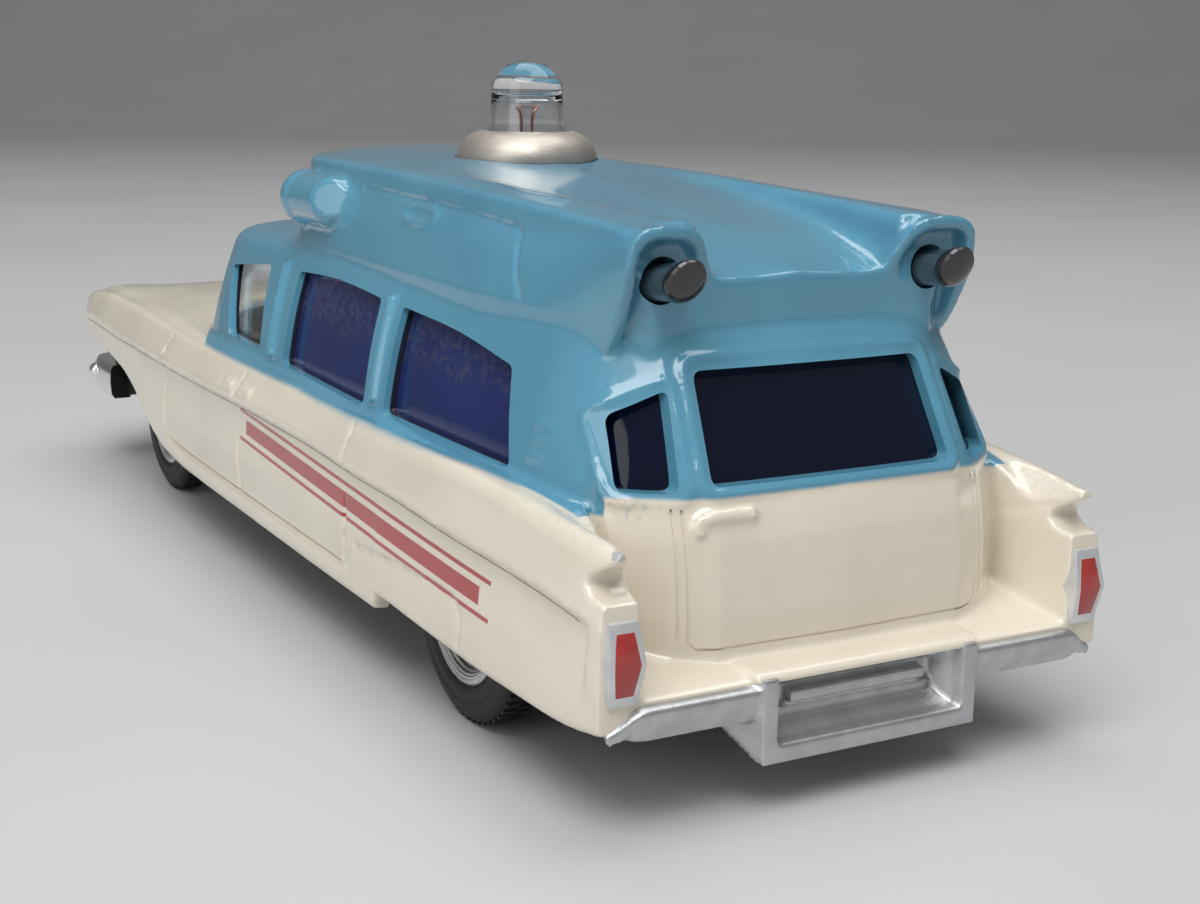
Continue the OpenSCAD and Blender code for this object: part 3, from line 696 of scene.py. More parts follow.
@dataclass(frozen=True)
class Enamel(Finish):
    """The casting's coats: ivory all over, blue sprayed over the top with a soft edge, and red lines."""

    edge: float = 0.18
    mist: float = 0.60
    waist_z: float = 18.0
    rear_z: float = 19.15
    cowl_x: float = 32.2
    bare: Colour = (0.42, 0.43, 0.43)
    # painted shade: the near-black colour put deep in the side windows' reveals
    window_reveal_shade: Colour = (0.012, 0.014, 0.022)
    # the chip's middle, and how far it reaches
    chip_at: Place = (-62.4, 18.1, 17.7)
    chip_reach: float = 0.55
    # x and z of the coach lines' middle, how they rise along x, and half of their length
    lines_at: Flat = (-23.7, 12.55)
    lines_rise: float = 0.053
    lines_half: float = 23.6

    def made(self) -> Graph:
        """Draws the nodes of both coats."""
        graph = Graph(self.name)
        x, y, z = graph.axes()
        side = abs(y)
        drift = (graph.noise(5.0, 3.0) - 0.5) * 0.2
        swell = -((x + 27.0).power(2.0) * (1 / 300.0)).least(1.0) + 1.0
        fall = (-x - 36.0).most(0.0).power(2.0) * 0.0042
        rake = (x - 5.0).most(0.0).power(2.0) * 0.0025
        beside = swell * 0.42 + 18.62 - fall - rake - side
        ahead = (side.power(3.0) * -0.0026 + self.cowl_x) - x
        tail = z - self.rear_z
        behind = (x + 55.4) * 3.0
        height = (z - self.waist_z).least(tail.most(behind))
        over = height.least(beside.most((z - 20.2) * 3.0)).least(ahead.most((z - 21.5) * 3.0)) + drift
        crisp = over.rise(-self.edge, self.edge)
        soft = over.rise(-self.mist, self.edge)
        sprayed = crisp + (soft - crisp) * (x + 51.0).rise(0.0, 3.0)
        corner = (side - 11.5).rise(0.0, 2.0) * (-x - 54.0).rise(0.0, 1.5)
        dust = graph.noise(0.45, 2.0).rise(0.52, 0.68) * over.rise(-3.0, 0.0) * corner
        sprayed = sprayed.most(dust * 0.30)
        cloud = graph.noise(9.0, 3.0).rise(0.3, 0.7)
        ivory = graph.blended(IVORY_DEEP, IVORY, cloud)
        blue = graph.blended(BLUE_DEEP, BLUE, cloud)
        coat = graph.blended(ivory, blue, sprayed)
        coat = graph.blended(coat, self.bare, self.chip(graph, (x, y, z)))
        # painted shade: the side windows' reveals are darkened to near black
        coat = graph.blended(coat, self.window_reveal_shade, self.shaded_reveals(x, side, z))
        graph.shade(base_color=graph.blended(coat, RED, self.lines(x, side, z)))
        peel = graph.noise(1.3, 2.0)
        graph.shade(roughness=peel * 0.08 + 0.15, coat_weight=0.75, coat_roughness=0.04)
        graph.relief(peel, 0.012)
        return graph

    def chip(self, graph: Graph, axes: tuple[Field, Field, Field]) -> Field:
        """Where paint is gone from the left fin's tip."""
        ragged = distance(axes, self.chip_at) + (graph.noise(0.5, 2.0) - 0.5) * 0.5
        return (-ragged + self.chip_reach).rise(-0.05, 0.05)

    def shaded_reveals(self, x: Field, side: Field, z: Field) -> Field:
        """Where shade is painted: near black, deep in the edges of the side windows."""
        up = (z - 19.5) * (1 / 8.5)
        skin = ((x + 18.0) * (1 / 29.0)).power(2.0) * -0.45 + 17.68 - up * 2.8 + (up * math.pi).wave() * 0.22
        beside = (x + 50.0).rise(0.0, 1.0) * (-x + 18.2).rise(0.0, 0.6)
        beside = beside * (z - 19.0).rise(0.0, 0.3) * (-z + 27.9).rise(0.0, 0.3)
        beside = beside * (side - 12.0).rise(0.0, 0.4)
        return (skin - side - 0.45).rise(0.0, 0.12) * beside

    def lines(self, x: Field, side: Field, z: Field) -> Field:
        """Where the red coach lines lie on the body's sides."""
        at_x, at_z = self.lines_at
        along = x - at_x
        off = abs(z - (along * self.lines_rise + at_z))
        within = -abs(along) + self.lines_half
        broad = (-off + 0.62).least(within)
        narrow = (-abs(off - 1.25) + 0.16).least(within + 1.5)
        return broad.most(narrow).least(side - 18.0).rise(-0.05, 0.05)


def finished(shape: Shape, name: str, finish: Finish) -> bpy.types.Object:
    """An object of a shape, brought from millimetres to metres, smooth and with its finish."""
    bmesh.ops.scale(shape, vec=(MM, MM, MM), verts=shape.verts)
    mesh = poured(shape, name)
    mesh.polygons.foreach_set("use_smooth", [True] * len(mesh.polygons))
    mesh.materials.append(finish.material())
    return set_out(name, mesh)


def publish(
    shape: Shape,
    name: str,
    finish: Finish,
    body: str = "body",
    stands_for: Sequence[str] = (),
    sharp: float = 35.0,
) -> None:
    """Makes a finished piece of a shape and joins it to the frame.

    Args:
        shape: the shape, in millimetres; it is freed.
        name: the piece's name.
        finish: its surface.
        body: the body that it rides on.
        stands_for: CAD nodes that it replaces.
        sharp: edges sharper than this, in degrees, are drawn sharp.
    """
    obj = finished(shape, name, finish)
    obj.data.set_sharp_from_angle(angle=math.radians(sharp))
    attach(obj, body)
    if stands_for:
        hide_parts(*stands_for)
    LOG.info("%s on %s: %d faces", name, body, len(obj.data.polygons))


@dataclass
class Stationed:
    """A form that is drawn through a table of sections along x."""

    stations: Table = ()
    lines: list[Fair] = field(init=False)

    def __post_init__(self) -> None:
        """Fairs a line through each column of the table."""
        columns = list(zip(*self.stations))
        self.lines = [Fair(columns[0], column) for column in columns[1:]]

    def at(self, x: float) -> list[float]:
        """The table's values at x."""
        return [line(x) for line in self.lines]


@dataclass
class LowerBody(Stationed):
    """The body below the windows: nose, wings, doors, fins and tail lamp pods."""

    inset: float = 0.62
    # x, edge z, sill y, crease y and z, shoulder y and z, deck y and z, middle z
    stations: Table = (
        (63.2, 12.9, 17.2, 18.0, 15.4, 17.4, 17.0, 14.5, 17.3, 17.2),
        (62.2, 12.5, 18.4, 19.0, 15.8, 18.2, 18.2, 15.2, 18.6, 18.2),
        (58.0, 13.0, 19.1, 19.3, 16.1, 18.2, 18.9, 15.8, 19.5, 19.2),
        (52.0, 13.1, 19.5, 19.6, 16.1, 18.3, 19.2, 16.0, 19.6, 20.2),
        (44.0, 12.3, 19.7, 19.8, 15.9, 18.4, 19.2, 15.8, 19.5, 20.8),
        (38.3, 10.7, 19.8, 19.9, 15.9, 18.5, 19.1, 15.8, 19.5, 21.0),
        (35.2, 8.9, 19.8, 20.0, 15.8, 18.6, 19.0, 16.0, 19.5, 21.0),
        (31.0, 7.2, 19.8, 20.1, 15.8, 18.7, 18.9, 16.5, 19.5, 20.8),
        (27.0, 6.3, 19.9, 20.2, 15.8, 18.8, 18.8, 17.2, 19.4, 20.5),
        (18.0, 5.7, 20.0, 20.3, 15.8, 19.0, 18.7, 18.0, 19.2, 20.0),
        (0.0, 5.6, 20.2, 20.5, 16.0, 19.1, 18.7, 18.2, 19.2, 20.0),
        (-15.0, 5.5, 20.3, 20.5, 15.9, 19.2, 18.8, 18.3, 19.2, 20.0),
        (-29.6, 5.4, 20.3, 20.5, 15.4, 19.3, 19.0, 18.3, 19.3, 20.0),
        (-30.2, 6.6, 20.3, 20.5, 15.4, 19.3, 19.0, 18.3, 19.3, 20.0),
        (-42.0, 6.2, 20.2, 20.4, 14.9, 19.3, 19.0, 18.2, 19.2, 20.0),
        (-50.0, 6.0, 20.0, 20.2, 14.6, 19.2, 18.8, 17.8, 18.9, 20.0),
        (-55.0, 6.0, 19.9, 20.0, 14.3, 19.0, 18.4, 17.4, 18.2, 19.6),
        (-58.6, 6.1, 19.8, 19.9, 14.0, 18.7, 18.05, 16.6, 16.6, 17.0),
        (-61.2, 6.4, 19.6, 19.6, 13.6, 18.45, 17.75, 15.6, 15.4, 15.4),
        (-62.6, 6.6, 19.4, 19.4, 13.4, 18.3, 17.6, 15.2, 15.0, 15.0),
    )
    # the gap between the lamp pods: x, floor z, half width low down and at the fins
    gap: Table = ((-54.0, 10.4, 15.5, 15.9), (-64.5, 8.1, 17.0, 18.5))
    # the notch under the fin tips, x and z
    notch: Outline = ((-65.0, 18.5), (-60.8, 16.1), (-60.4, 15.6), (-61.2, 14.9), (-65.0, 14.3))

    def half(self, x: float) -> list[Flat]:
        """Half of the section at x: y and z from the middle of the bottom to the middle of the top."""
        edge, sill, crease_y, crease_z, top_y, top_z, deck_y, deck_z, mid = self.at(x)
        tall = crease_z - edge
        small = min(1.0, tall / 9.0)
        step = self.inset * ease(x, -61.4, -60.9) * small
        rocker = 0.32 * ease(x, -26.0, -23.0) * ease(-x, -27.0, -22.0)
        low_y = crease_y - step
        crown = mid - deck_z
        return [
            (0.0, edge),
            (sill - 1.0, edge),
            (sill - 0.3, edge + 0.1 * small),
            (sill, edge + 0.45 * small),
            (sill, edge + 1.65 * small),
            (sill - rocker, edge + 2.1 * small),
            ((sill + low_y) / 2 + 0.08, edge + tall * 0.5),
            (low_y, crease_z - 1.7 * small),
            (low_y, crease_z - 0.65 * small),
            (crease_y, crease_z - 0.15 * small),
            (crease_y - 0.02, crease_z + 0.3 * small),
            (top_y + 0.42, top_z - 0.9),
            (top_y + 0.06, top_z - 0.22),
            (top_y - 0.32, top_z + 0.04),
            (top_y - 0.9, top_z + 0.06),
            (deck_y, deck_z),
            (deck_y * 0.7, mid - crown * 0.49),
            (deck_y * 0.35, mid - crown * 0.12),
            (0.0, mid),
        ]

    def places(self) -> list[float]:
        """Where sections are drawn: evenly, with more where the sill steps and the tail panel ends."""
        first, last = self.stations[0][0], self.stations[-1][0]
        even = np.linspace(first, last, 100)
        close = (-29.5, -29.7, -30.1, -30.3, -60.9, -61.1, -61.4)
        return sorted({*even.tolist(), *close}, reverse=True)

    def edge(self, x: float) -> float:
        """How high the lower edge lies at x."""
        return self.lines[0](x)

    def crease(self, x: float) -> float:
        """How high the crease along the side lies at x."""
        return self.lines[3](x)

    def side(self, x: float, z: float) -> float:
        """How far out the side lies at x and z."""
        outer = self.half(x)[3:14]
        return float(np.interp(z, [p[1] for p in outer], [p[0] for p in outer]))

    def solid(self) -> Shape:
        """The whole form, cut away between the lamp pods and under the fin tips."""
        bench = Bench(loft([section_at(x, self.half(x)) for x in self.places()]))
        gap = []
        for x, low, half, tip in self.gap:
            left = [(0.0, low), (half, low), (half, 14.6), (tip, 19.2), (tip, 26.0), (0.0, 26.0)]
            gap.append(section_at(x, left))
        bench.work(loft(gap), Cut.TAKE)
        bench.work(prism(self.notch, Along.Y, -ACROSS, ACROSS), Cut.TAKE)
        return bench.taken()

    def hollow(self, wall: float) -> Shape:
        """The space inside, open at the bottom."""
        rings = []
        for x in [61.0, *[s[0] for s in self.stations if -56 < s[0] < 60]]:
            edge, sill, crease_y, crease_z, top_y, top_z, deck_y, deck_z, mid = self.at(x)
            half = [
                (0.0, -2.0),
                (sill - wall, -2.0),
                (sill - wall, edge),
                (crease_y - self.inset - wall, crease_z - 0.6),
                (top_y - wall, top_z - wall - 0.8),
                (deck_y - wall, deck_z - wall),
                (0.0, mid - wall),
            ]
            rings.append(section_at(x, half))
        return loft(rings)


@dataclass
class Greenhouse:
    """The glazed part of the body with the cab roof, and the rear face below it."""

    waist_z: float = 19.5
    cant_z: float = 28.0
    # x and y of the plan's left half at the waist and at the cant rail, from the front to the rear
    waist: Outline = (
        (31.5, 0), (30.6, 6), (28, 11), (23, 15.2), (16.5, 17.2), (0, 17.6), (-20, 17.7), (-38, 17.4),
        (-47, 17.0), (-52, 16.4), (-55.0, 15.2), (-57.4, 12.4), (-58.6, 9.5), (-58.9, 0),
    )  # fmt: skip
    cant: Outline = (
        (26.3, 0), (25.8, 5), (24.3, 9.5), (22.3, 12.4), (18.5, 14.1), (0, 14.7), (-20, 14.9), (-38, 14.7),
        (-45, 14.4), (-49, 14.0), (-51.6, 13.2), (-53.3, 11.2), (-54.2, 8.6), (-54.5, 0),
    )  # fmt: skip
    # how far the roof's edge has drawn in at heights above the cant rail
    crown: Outline = ((0.0, 0.0), (0.55, 0.32), (1.0, 0.9), (1.35, 1.7), (1.6, 2.8), (1.8, 4.2))
    # how far the rear face stands behind the waist at each height
    tail: Outline = ((19.5, 0.0), (18.0, -0.55), (16.5, -1.0), (14.5, -1.35), (12.0, -1.5), (8.95, -1.4))

    def half_plan(self, z: float) -> list[Flat]:
        """Half of the plan at a height, from the front to the rear."""
        t = (z - self.waist_z) / (self.cant_z - self.waist_z)
        belly = 0.22 * math.sin(math.pi * min(1.0, max(0.0, t)))
        pairs = zip(self.waist, self.cant)
        plan = [(a[0] + (b[0] - a[0]) * t, a[1] + (b[1] - a[1]) * t) for a, b in pairs]
        return [(x, y + belly * min(1.0, y / 12.0)) for x, y in plan]

    def plan(self, z: float) -> list[Flat]:
        """The whole plan at a height, faired, anticlockwise from above."""
        return [(p.x, p.y) for p in faired(self.both(self.half_plan(z)), 4, closed=True)]

    @staticmethod
    def both(half: list[Flat]) -> list[Flat]:
        """A plan of its left half and the mirror image."""
        return half + [(x, -y) for x, y in reversed(half[1:-1])]

    def side(self, x: float, z: float) -> float:
        """How far out the side lies at x and z."""
        line = self.half_plan(z)[2:12]
        return float(np.interp(-x, [-p[0] for p in line], [p[1] for p in line]))

    def rear(self, y: float, z: float) -> float:
        """How far back the rear face lies at y and z."""
        line = self.half_plan(z)[9:]
        return float(np.interp(-abs(y), [-p[1] for p in line], [p[0] for p in line]))

    def solid(self, low: float, depth: float = 0.0) -> Shape:
        """The glazed form from a height up, or the form that lies a depth inside it."""
        levels = [(low, self.plan(self.waist_z), 0.0)]
        levels += [(z, self.plan(z), 0.0) for z in np.linspace(self.waist_z, self.cant_z - depth * 0.3, 7)]
        roof = self.plan(self.cant_z)
        levels += [(self.cant_z + up - depth * 0.9, roof, inward) for up, inward in self.crown[1:]]
        rings = []
        for z, plan, more in levels:
            rings.append([Vector((x, y, z)) for x, y in drawn_in(plan, depth + more)])
        return loft(rings)

    def rear_face(self) -> Shape:
        """The tailgate and the corners beside it, bowed out below the waist."""
        whole = self.both([(-40.0, 0.0), *self.half_plan(self.waist_z)[8:]])
        rings = []
        for z, back in self.tail:
            rings.append([Vector((x + back * ease(-x, 47.0, 56.0), y, z)) for x, y in whole])
        return loft(rings)


@dataclass
class RaisedRoof(Stationed):
    """The tall roof with its flaring top, the hoods over the rear lamps and the front pods."""

    foot_z: float = 27.2
    side_z: float = 29.6
    # x, base y, edge y and z, ridge y and z, valley y and z, middle z
    stations: Table = (
        (14.6, 2.4, 1.6, 36.0, 1.2, 36.3, 0.6, 36.5, 36.5),
        (13.2, 5.8, 5.0, 36.4, 4.0, 36.8, 2.5, 37.0, 37.1),
        (9.6, 10.0, 9.0, 36.7, 7.5, 37.0, 4.0, 37.3, 37.4),
        (4.0, 13.2, 11.8, 36.7, 10.0, 37.0, 5.5, 37.5, 37.7),
        (-6.0, 14.0, 12.2, 36.6, 10.3, 37.0, 5.5, 37.6, 37.8),
        (-14.6, 14.3, 12.3, 36.5, 10.3, 36.9, 5.0, 37.6, 37.8),
        (-24.0, 14.6, 12.4, 36.3, 9.9, 36.8, 7.2, 36.5, 36.8),
        (-35.0, 14.7, 12.5, 36.0, 9.4, 36.4, 7.4, 35.4, 35.5),
        (-45.0, 14.2, 12.8, 35.7, 8.9, 36.0, 7.2, 34.2, 34.2),
        (-51.0, 13.5, 13.1, 35.5, 8.4, 35.7, 6.9, 33.0, 32.9),
        (-53.9, 10.8, 13.2, 35.3, 8.1, 35.5, 6.9, 32.2, 32.2),
    )
    # the rear edge of the left hood, from the corner pillar over the lamp to the valley
    hood: Table = (
        (-52.4, 12.95, 27.6), (-53.6, 13.1, 29.4), (-54.7, 13.2, 32.0), (-55.2, 13.05, 34.1),
        (-55.3, 12.3, 34.95), (-55.35, 10.9, 35.2), (-55.2, 9.2, 35.0), (-54.9, 8.3, 34.3),
        (-54.4, 7.7, 33.2), (-54.0, 7.1, 32.0),
    )  # fmt: skip
    hood_t: float = 0.9
    pod_y: float = 13.0
    pod_z: float = 33.4
    # radius and place along the front pod
    pod: Outline = (
        (0.0, 3.6), (1.7, 3.6), (2.2, 3.25), (2.4, 2.6), (2.42, 1.6), (2.25, 1.1), (2.25, -4.8), (1.9, -6.0),
        (0.9, -7.2), (0.0, -7.2),
    )  # fmt: skip

    def half(self, x: float) -> list[Flat]:
        """Half of the section at x, from the middle of its foot to the middle of its top."""
        base, edge_y, edge_z, ridge_y, ridge_z, valley_y, valley_z, mid = self.at(x)
        upper = [
            (base, self.side_z),
            (edge_y * 0.45 + base * 0.55, (self.side_z + edge_z) / 2 - 0.3),
            (edge_y * 0.85 + base * 0.15, edge_z - 1.9),
            (edge_y, edge_z - 0.75),
            (edge_y * 0.96 + ridge_y * 0.04, edge_z - 0.18),
            (edge_y * 0.72 + ridge_y * 0.28, edge_z + 0.14),
            (ridge_y, ridge_z),
            (valley_y, valley_z),
            (0.0, mid),
        ]
        return [(0.0, self.foot_z), (base, self.foot_z)] + [(p.x, p.y) for p in faired(upper, 4)]

    def side(self, x: float, z: float) -> float:
        """How far out the roof's side lies at x and z."""
        outer = self.half(x)[2:19]
        return float(np.interp(z, [p[1] for p in outer], [p[0] for p in outer]))

    def top(self, x: float, y: float) -> float:
        """How high the roof's top lies at x and y."""
        upper = self.half(x)[-14:]
        return float(np.interp(y, [p[0] for p in reversed(upper)], [p[1] for p in reversed(upper)]))

    def solid(self) -> Shape:
        """The roof's outer form."""
        first, last = self.stations[0][0], self.stations[-1][0]
        return loft([section_at(x, self.half(x)) for x in np.linspace(first, last, 60)])

    def hollow(self, wall: float) -> Shape:
        """The space inside the roof."""
        rings = []
        for x in (13.0, 9.6, 4.0, -6.0, -14.6, -24.0, -35.0, -44.0):
            base, edge_y, edge_z, ridge_y, ridge_z, valley_y, valley_z, mid = self.at(x)
            half = [
                (0.0, self.foot_z - 2.0),
                (base - wall, self.foot_z - 2.0),
                (base - wall, self.side_z),
                (edge_y - wall, edge_z - wall - 0.6),
                (ridge_y - wall / 2, ridge_z - wall),
                (valley_y, valley_z - wall),
                (0.0, mid - wall),
            ]
            rings.append(section_at(x, half))
        return loft(rings)

    def rear_hood(self) -> Shape:
        """The left lamp's hood: a bent wall that stands out behind the roof."""
        path = faired(self.hood, 4)
        rings = []
        for point, along in zip(path, headings(path)):
            out = Vector((0, along.z, -along.y)).normalized() * (self.hood_t / 2)
            blend = ease(point.z, 33.0, 35.0)
            side = Vector((-42.0, min(point.y + 2.0, self.side(-42.0, min(point.z, 34.5))), point.z))
            over = Vector((-46.0, point.y, min(point.z, self.top(-46.0, point.y))))
            front = side.lerp(over, blend) if point.y > 12.0 else Vector((-49.0, point.y, point.z - 0.4))
            rings.append([point + out, point - out, front - out * 2, front])
        return loft(rings)

    def front_pod(self) -> Shape:
        """The cast spot lamp on the left of the roof."""
        shape = turned(self.pod, (0, self.pod_y, self.pod_z), Along.X, 32)
        facet = bmesh.ops.bisect_plane(
            shape,
            geom=everything(shape),
            plane_co=(-5.6, self.pod_y + 1.35, self.pod_z + 0.35),
            plane_no=(-0.62, 0.74, 0.26),
            clear_outer=True,
        )
        rim = [g for g in facet["geom_cut"] if isinstance(g, bmesh.types.BMEdge)]
        bmesh.ops.edgeloop_fill(shape, edges=rim)
        bmesh.ops.recalc_face_normals(shape, faces=shape.faces)
        return shape


@dataclass
class BodyCasting:
    """The one-piece casting: its forms, window openings and relief."""

    wall: float = 1.35
    glass_wall: float = 0.95
    grain: float = 0.20
    passes: int = 4
    most: int = 165000
    seam: float = 0.25
    fine_seam: float = 0.11
    # radii of what is raised: window rims, pillars, handles, vents and the roof's oval
    bead: float = 0.36
    pillar_r: float = 0.62
    handle_r: float = 0.32
    gate_handle_r: float = 0.42
    vent_r: float = 0.22
    oval_r: float = 0.24
    # the fine side lines: ends in x, height off the crease or the edge, and radius
    crease_line: tuple[float, float, float, float] = (60.5, -60.0, -0.62, 0.14)
    sill_line: tuple[float, float, float, float] = (25.5, -23.0, 2.1, 0.12)
    # the tailgate's half width, bottom and top
    tailgate: tuple[float, float, float] = (11.35, 9.9, 19.0)
    # windows from the side, x and z of each corner
    side_windows: tuple[Outline, ...] = (
        ((12.6, 20.1), (17.3, 26.0), (6.5, 27.1), (3.1, 20.0)),
        ((-3.2, 19.7), (-1.2, 27.3), (-10.5, 27.6), (-20.1, 27.2), (-22.1, 19.3)),
        ((-25.9, 19.4), (-24.4, 27.1), (-34.5, 26.6), (-43.3, 25.5), (-46.1, 19.3)),
    )
    # windows and their rims from the front or the rear, y and z of each corner
    windscreen: Outline = ((-15.4, 20.3), (15.4, 20.3), (13.0, 26.6), (-13.0, 26.6))
    rear_window: Outline = ((-9.3, 19.8), (9.3, 19.8), (8.8, 26.5), (-8.8, 26.5))
    rear_rim: Outline = ((-9.9, 19.3), (9.9, 19.3), (9.35, 27.2), (-9.35, 27.2))
    quarter_window: Outline = ((11.4, 19.5), (14.6, 19.5), (14.2, 23.9), (10.7, 25.5))
    quarter_rim: Outline = ((10.6, 18.9), (15.2, 18.9), (14.9, 24.2), (10.2, 26.2))
    # the tailgate's handle, y and z along it
    gate_handle: Outline = ((10.4, 17.0), (10.5, 17.7), (9.6, 18.05), (6.6, 18.05))
    # the lip above the step, x and z
    lip: Outline = ((-59.0, 9.2), (-62.9, 9.0), (-63.25, 8.7), (-63.2, 8.3), (-59.0, 8.2))
    # raised lines of the sides, x and z along them
    pillars: tuple[Outline, ...] = (
        ((-0.5, 19.9), (0.6, 22.5), (2.4, 27.6)),
        ((-24.0, 19.9), (-23.3, 23.0), (-22.2, 27.6)),
    )
    handles: tuple[Outline, ...] = (((5.3, 17.0), (3.1, 17.0)), ((1.1, 17.0), (-1.9, 17.0)))
    vents_z: tuple[float, ...] = (20.5, 21.5, 22.5)
    # middle and half sizes of the oval on the roof's side
    oval: tuple[Flat, Flat] = ((-22.6, 33.7), (3.1, 0.62))
    # grooves of the sides and of the roof panel, x and z along them
    side_seams: tuple[Outline, ...] = (
        ((26.4, 9.0), (26.0, 13.0), (25.6, 17.0), (24.6, 18.5)),
        ((2.2, 7.7), (2.2, 12.0), (2.1, 16.0), (1.4, 18.4)),
        ((-23.4, 7.7), (-23.9, 12.0), (-24.3, 16.0), (-24.7, 18.7)),
        ((-26.0, 9.6), (-34.0, 10.1), (-42.3, 10.3), (-44.4, 9.5), (-44.6, 8.2), (-44.2, 6.9)),
    )
    roof_seam: Outline = (
        (-9.5, 35.0), (-24.0, 34.7), (-38.4, 34.1), (-39.7, 33.2), (-41.0, 31.0), (-42.4, 29.8),
    )  # fmt: skip
    # the left roof lamp's hole, from end to end, and the radius and height of the beacon's seat
    lamp_hole: tuple[Place, Place] = ((-49.0, 10.45, 31.4), (-58.0, 10.45, 32.66))
    beacon_seat: Outline = ((0, 36.0), (5.9, 36.9), (5.9, 40.0), (0, 40.0))
    beacon_x: float = -14.6
    # the forms that the casting is made of
    lower: LowerBody = field(default_factory=LowerBody)
    house: Greenhouse = field(default_factory=Greenhouse)
    roof: RaisedRoof = field(default_factory=RaisedRoof)

    @staticmethod
    def on(form: LowerBody | Greenhouse | RaisedRoof, places: Sequence[Flat]) -> list[Vector]:
        """Points of a form's left side, at each x and z."""
        return [Vector((x, form.side(x, z), z)) for x, z in places]

    def on_rear(self, places: Sequence[Flat]) -> list[Vector]:
        """Points of the rear face at each y and z."""
        back = Fair(*zip(*self.house.tail))
        return [
            Vector((self.house.rear(y, max(z, self.house.waist_z)) + (back(z) if z < 19.5 else 0.0), y, z))
            for y, z in places
        ]

    def raised(self) -> list[Shape]:
        """What stands out of the casting on the left side, apart from its main forms."""
        quarter = self.on_rear(rounded(self.quarter_rim, 0.9, 3))
        (x, z), (long, tall) = self.oval
        oval = [(x + long * math.cos(a), z + tall * math.sin(a)) for a in np.linspace(0, 2 * math.pi, 25)]
        shapes = [self.roof.rear_hood(), self.roof.front_pod()]
        shapes += [tube(faired(self.on(self.house, line), 4), self.pillar_r) for line in self.pillars]
        shapes += [tube(quarter + quarter[:1], self.bead), tube(self.on(self.roof, oval), self.oval_r)]
        shapes += [tube(self.on(self.lower, line), self.handle_r) for line in self.handles]
        shapes += [tube(self.on(self.house, [(-48.0, z), (-49.8, z)]), self.vent_r) for z in self.vents_z]
        return shapes

    def middle(self) -> list[Shape]:
        """What stands out across the middle: the rear window's rim, the tailgate's handle and the lip."""
        rim = self.on_rear(rounded(self.rear_rim, 0.8, 3))
        handle = self.on_rear(self.gate_handle)
        return [
            tube(rim + rim[:1], self.bead),
            tube(faired(handle, 4), self.gate_handle_r),
            prism(self.lip, Along.Y, -8.7, 8.7),
        ]

    def seams(self) -> list[Shape]:
        """Grooves of the left side: doors, wheel cover and roof panel."""
        lines = [*(self.on(self.lower, line) for line in self.side_seams), self.on(self.roof, self.roof_seam)]
        return [tube(faired(line, 5), self.seam) for line in lines]

    def creases(self) -> Shape:
        """The fine lines along both sides, below the shoulder and above the sill."""
        lines = []
        for (first, last, off, radius), height, steps in (
            (self.crease_line, self.lower.crease, 121),
            (self.sill_line, self.lower.edge, 61),
        ):
            places = [(x, height(x) + off) for x in np.linspace(first, last, steps)]
            lines.append(tube(self.on(self.lower, places), radius))
        return together([*(flipped(line) for line in lines), *lines])

    def door_seams(self) -> list[Shape]:
        """The tailgate's fine seam, and the second line beside it on the left and the right."""
        half, low, top = self.tailgate
        left = [(half, top), (half, low + 0.5), (half - 0.4, low)]
        frame = left + [(-y, z) for y, z in reversed(left)]
        path = []
        for a, b in zip(frame, frame[1:]):
            path += [tuple(Vector(a).lerp(Vector(b), k / 12)) for k in range(12)]
        seams = [tube(self.on_rear([*path, frame[-1]]), self.fine_seam)]
        for side in SIDES:
            line = [((half + 0.6) * side, z) for z in np.linspace(top, low + 0.6, 13)]
            seams.append(tube(self.on_rear(line), self.fine_seam))
        return seams

    def openings(self) -> Shape:
        """Windows, lamp holes, the beacon's seat and the room for the step."""
        cuts = []
        for low, *upper, last in self.side_windows:
            arch = [(p.x, p.y) for p in faired(upper, 4)]
            cuts.append(prism(rounded([low, *arch, last], 0.55), Along.Y, -ACROSS, ACROSS))
        cuts.append(prism(rounded(self.windscreen, 0.9), Along.X, 20.0, 36.0))
        cuts.append(prism(rounded(self.rear_window, 0.7), Along.X, -66.0, -50.0))
        for side in SIDES:
            quarter = [(y * side, z) for y, z in self.quarter_window]
            cuts.append(prism(rounded(quarter, 0.6), Along.X, -66.0, -48.0))
            cuts.append(tube([(x, y * side, z) for x, y, z in self.lamp_hole], 1.5, 24))
        cuts.append(turned(self.beacon_seat, (self.beacon_x, 0, 0), Along.Z, 48))
        cuts.append(beam((-66.0, 2.0), (-60.3, 8.4), 8.6))
        return together(cuts)

    def build(self) -> Shape:
        """Casts the body: joins the forms, cuts the seams, softens all edges, then hollows it."""
        left = self.raised()
        forms = [self.lower.solid(), self.house.solid(17.0), self.house.rear_face(), self.roof.solid()]
        forms += left + [flipped(s) for s in left] + self.middle()
        grain = self.grain * 1
        bench = Bench(together(forms)).fused(grain)
        for seam in self.seams():
            bench.work(together([seam, flipped(seam)]), Cut.TAKE)
        bench.fused(grain).eased(self.passes).thinned(self.most)
        for seam in (*self.door_seams(), self.creases()):
            bench.work(seam, Cut.TAKE)
        bench.work(self.lower.hollow(self.wall), Cut.TAKE)
        bench.work(self.house.solid(16.0, self.glass_wall), Cut.TAKE)
        bench.work(self.roof.hollow(self.wall), Cut.TAKE)
        bench.work(self.openings(), Cut.TAKE)
        bench.work(beam((54.6, 2.0), (70.0, 16.4), 16.6), Cut.TAKE)
        return bench.taken()

    def dress(self) -> None:
        """Makes the casting's piece."""
        paint = Enamel("two_tone_enamel", IVORY, BLUE)
        publish(self.build(), "body_casting", paint, stands_for=["body_shell"])


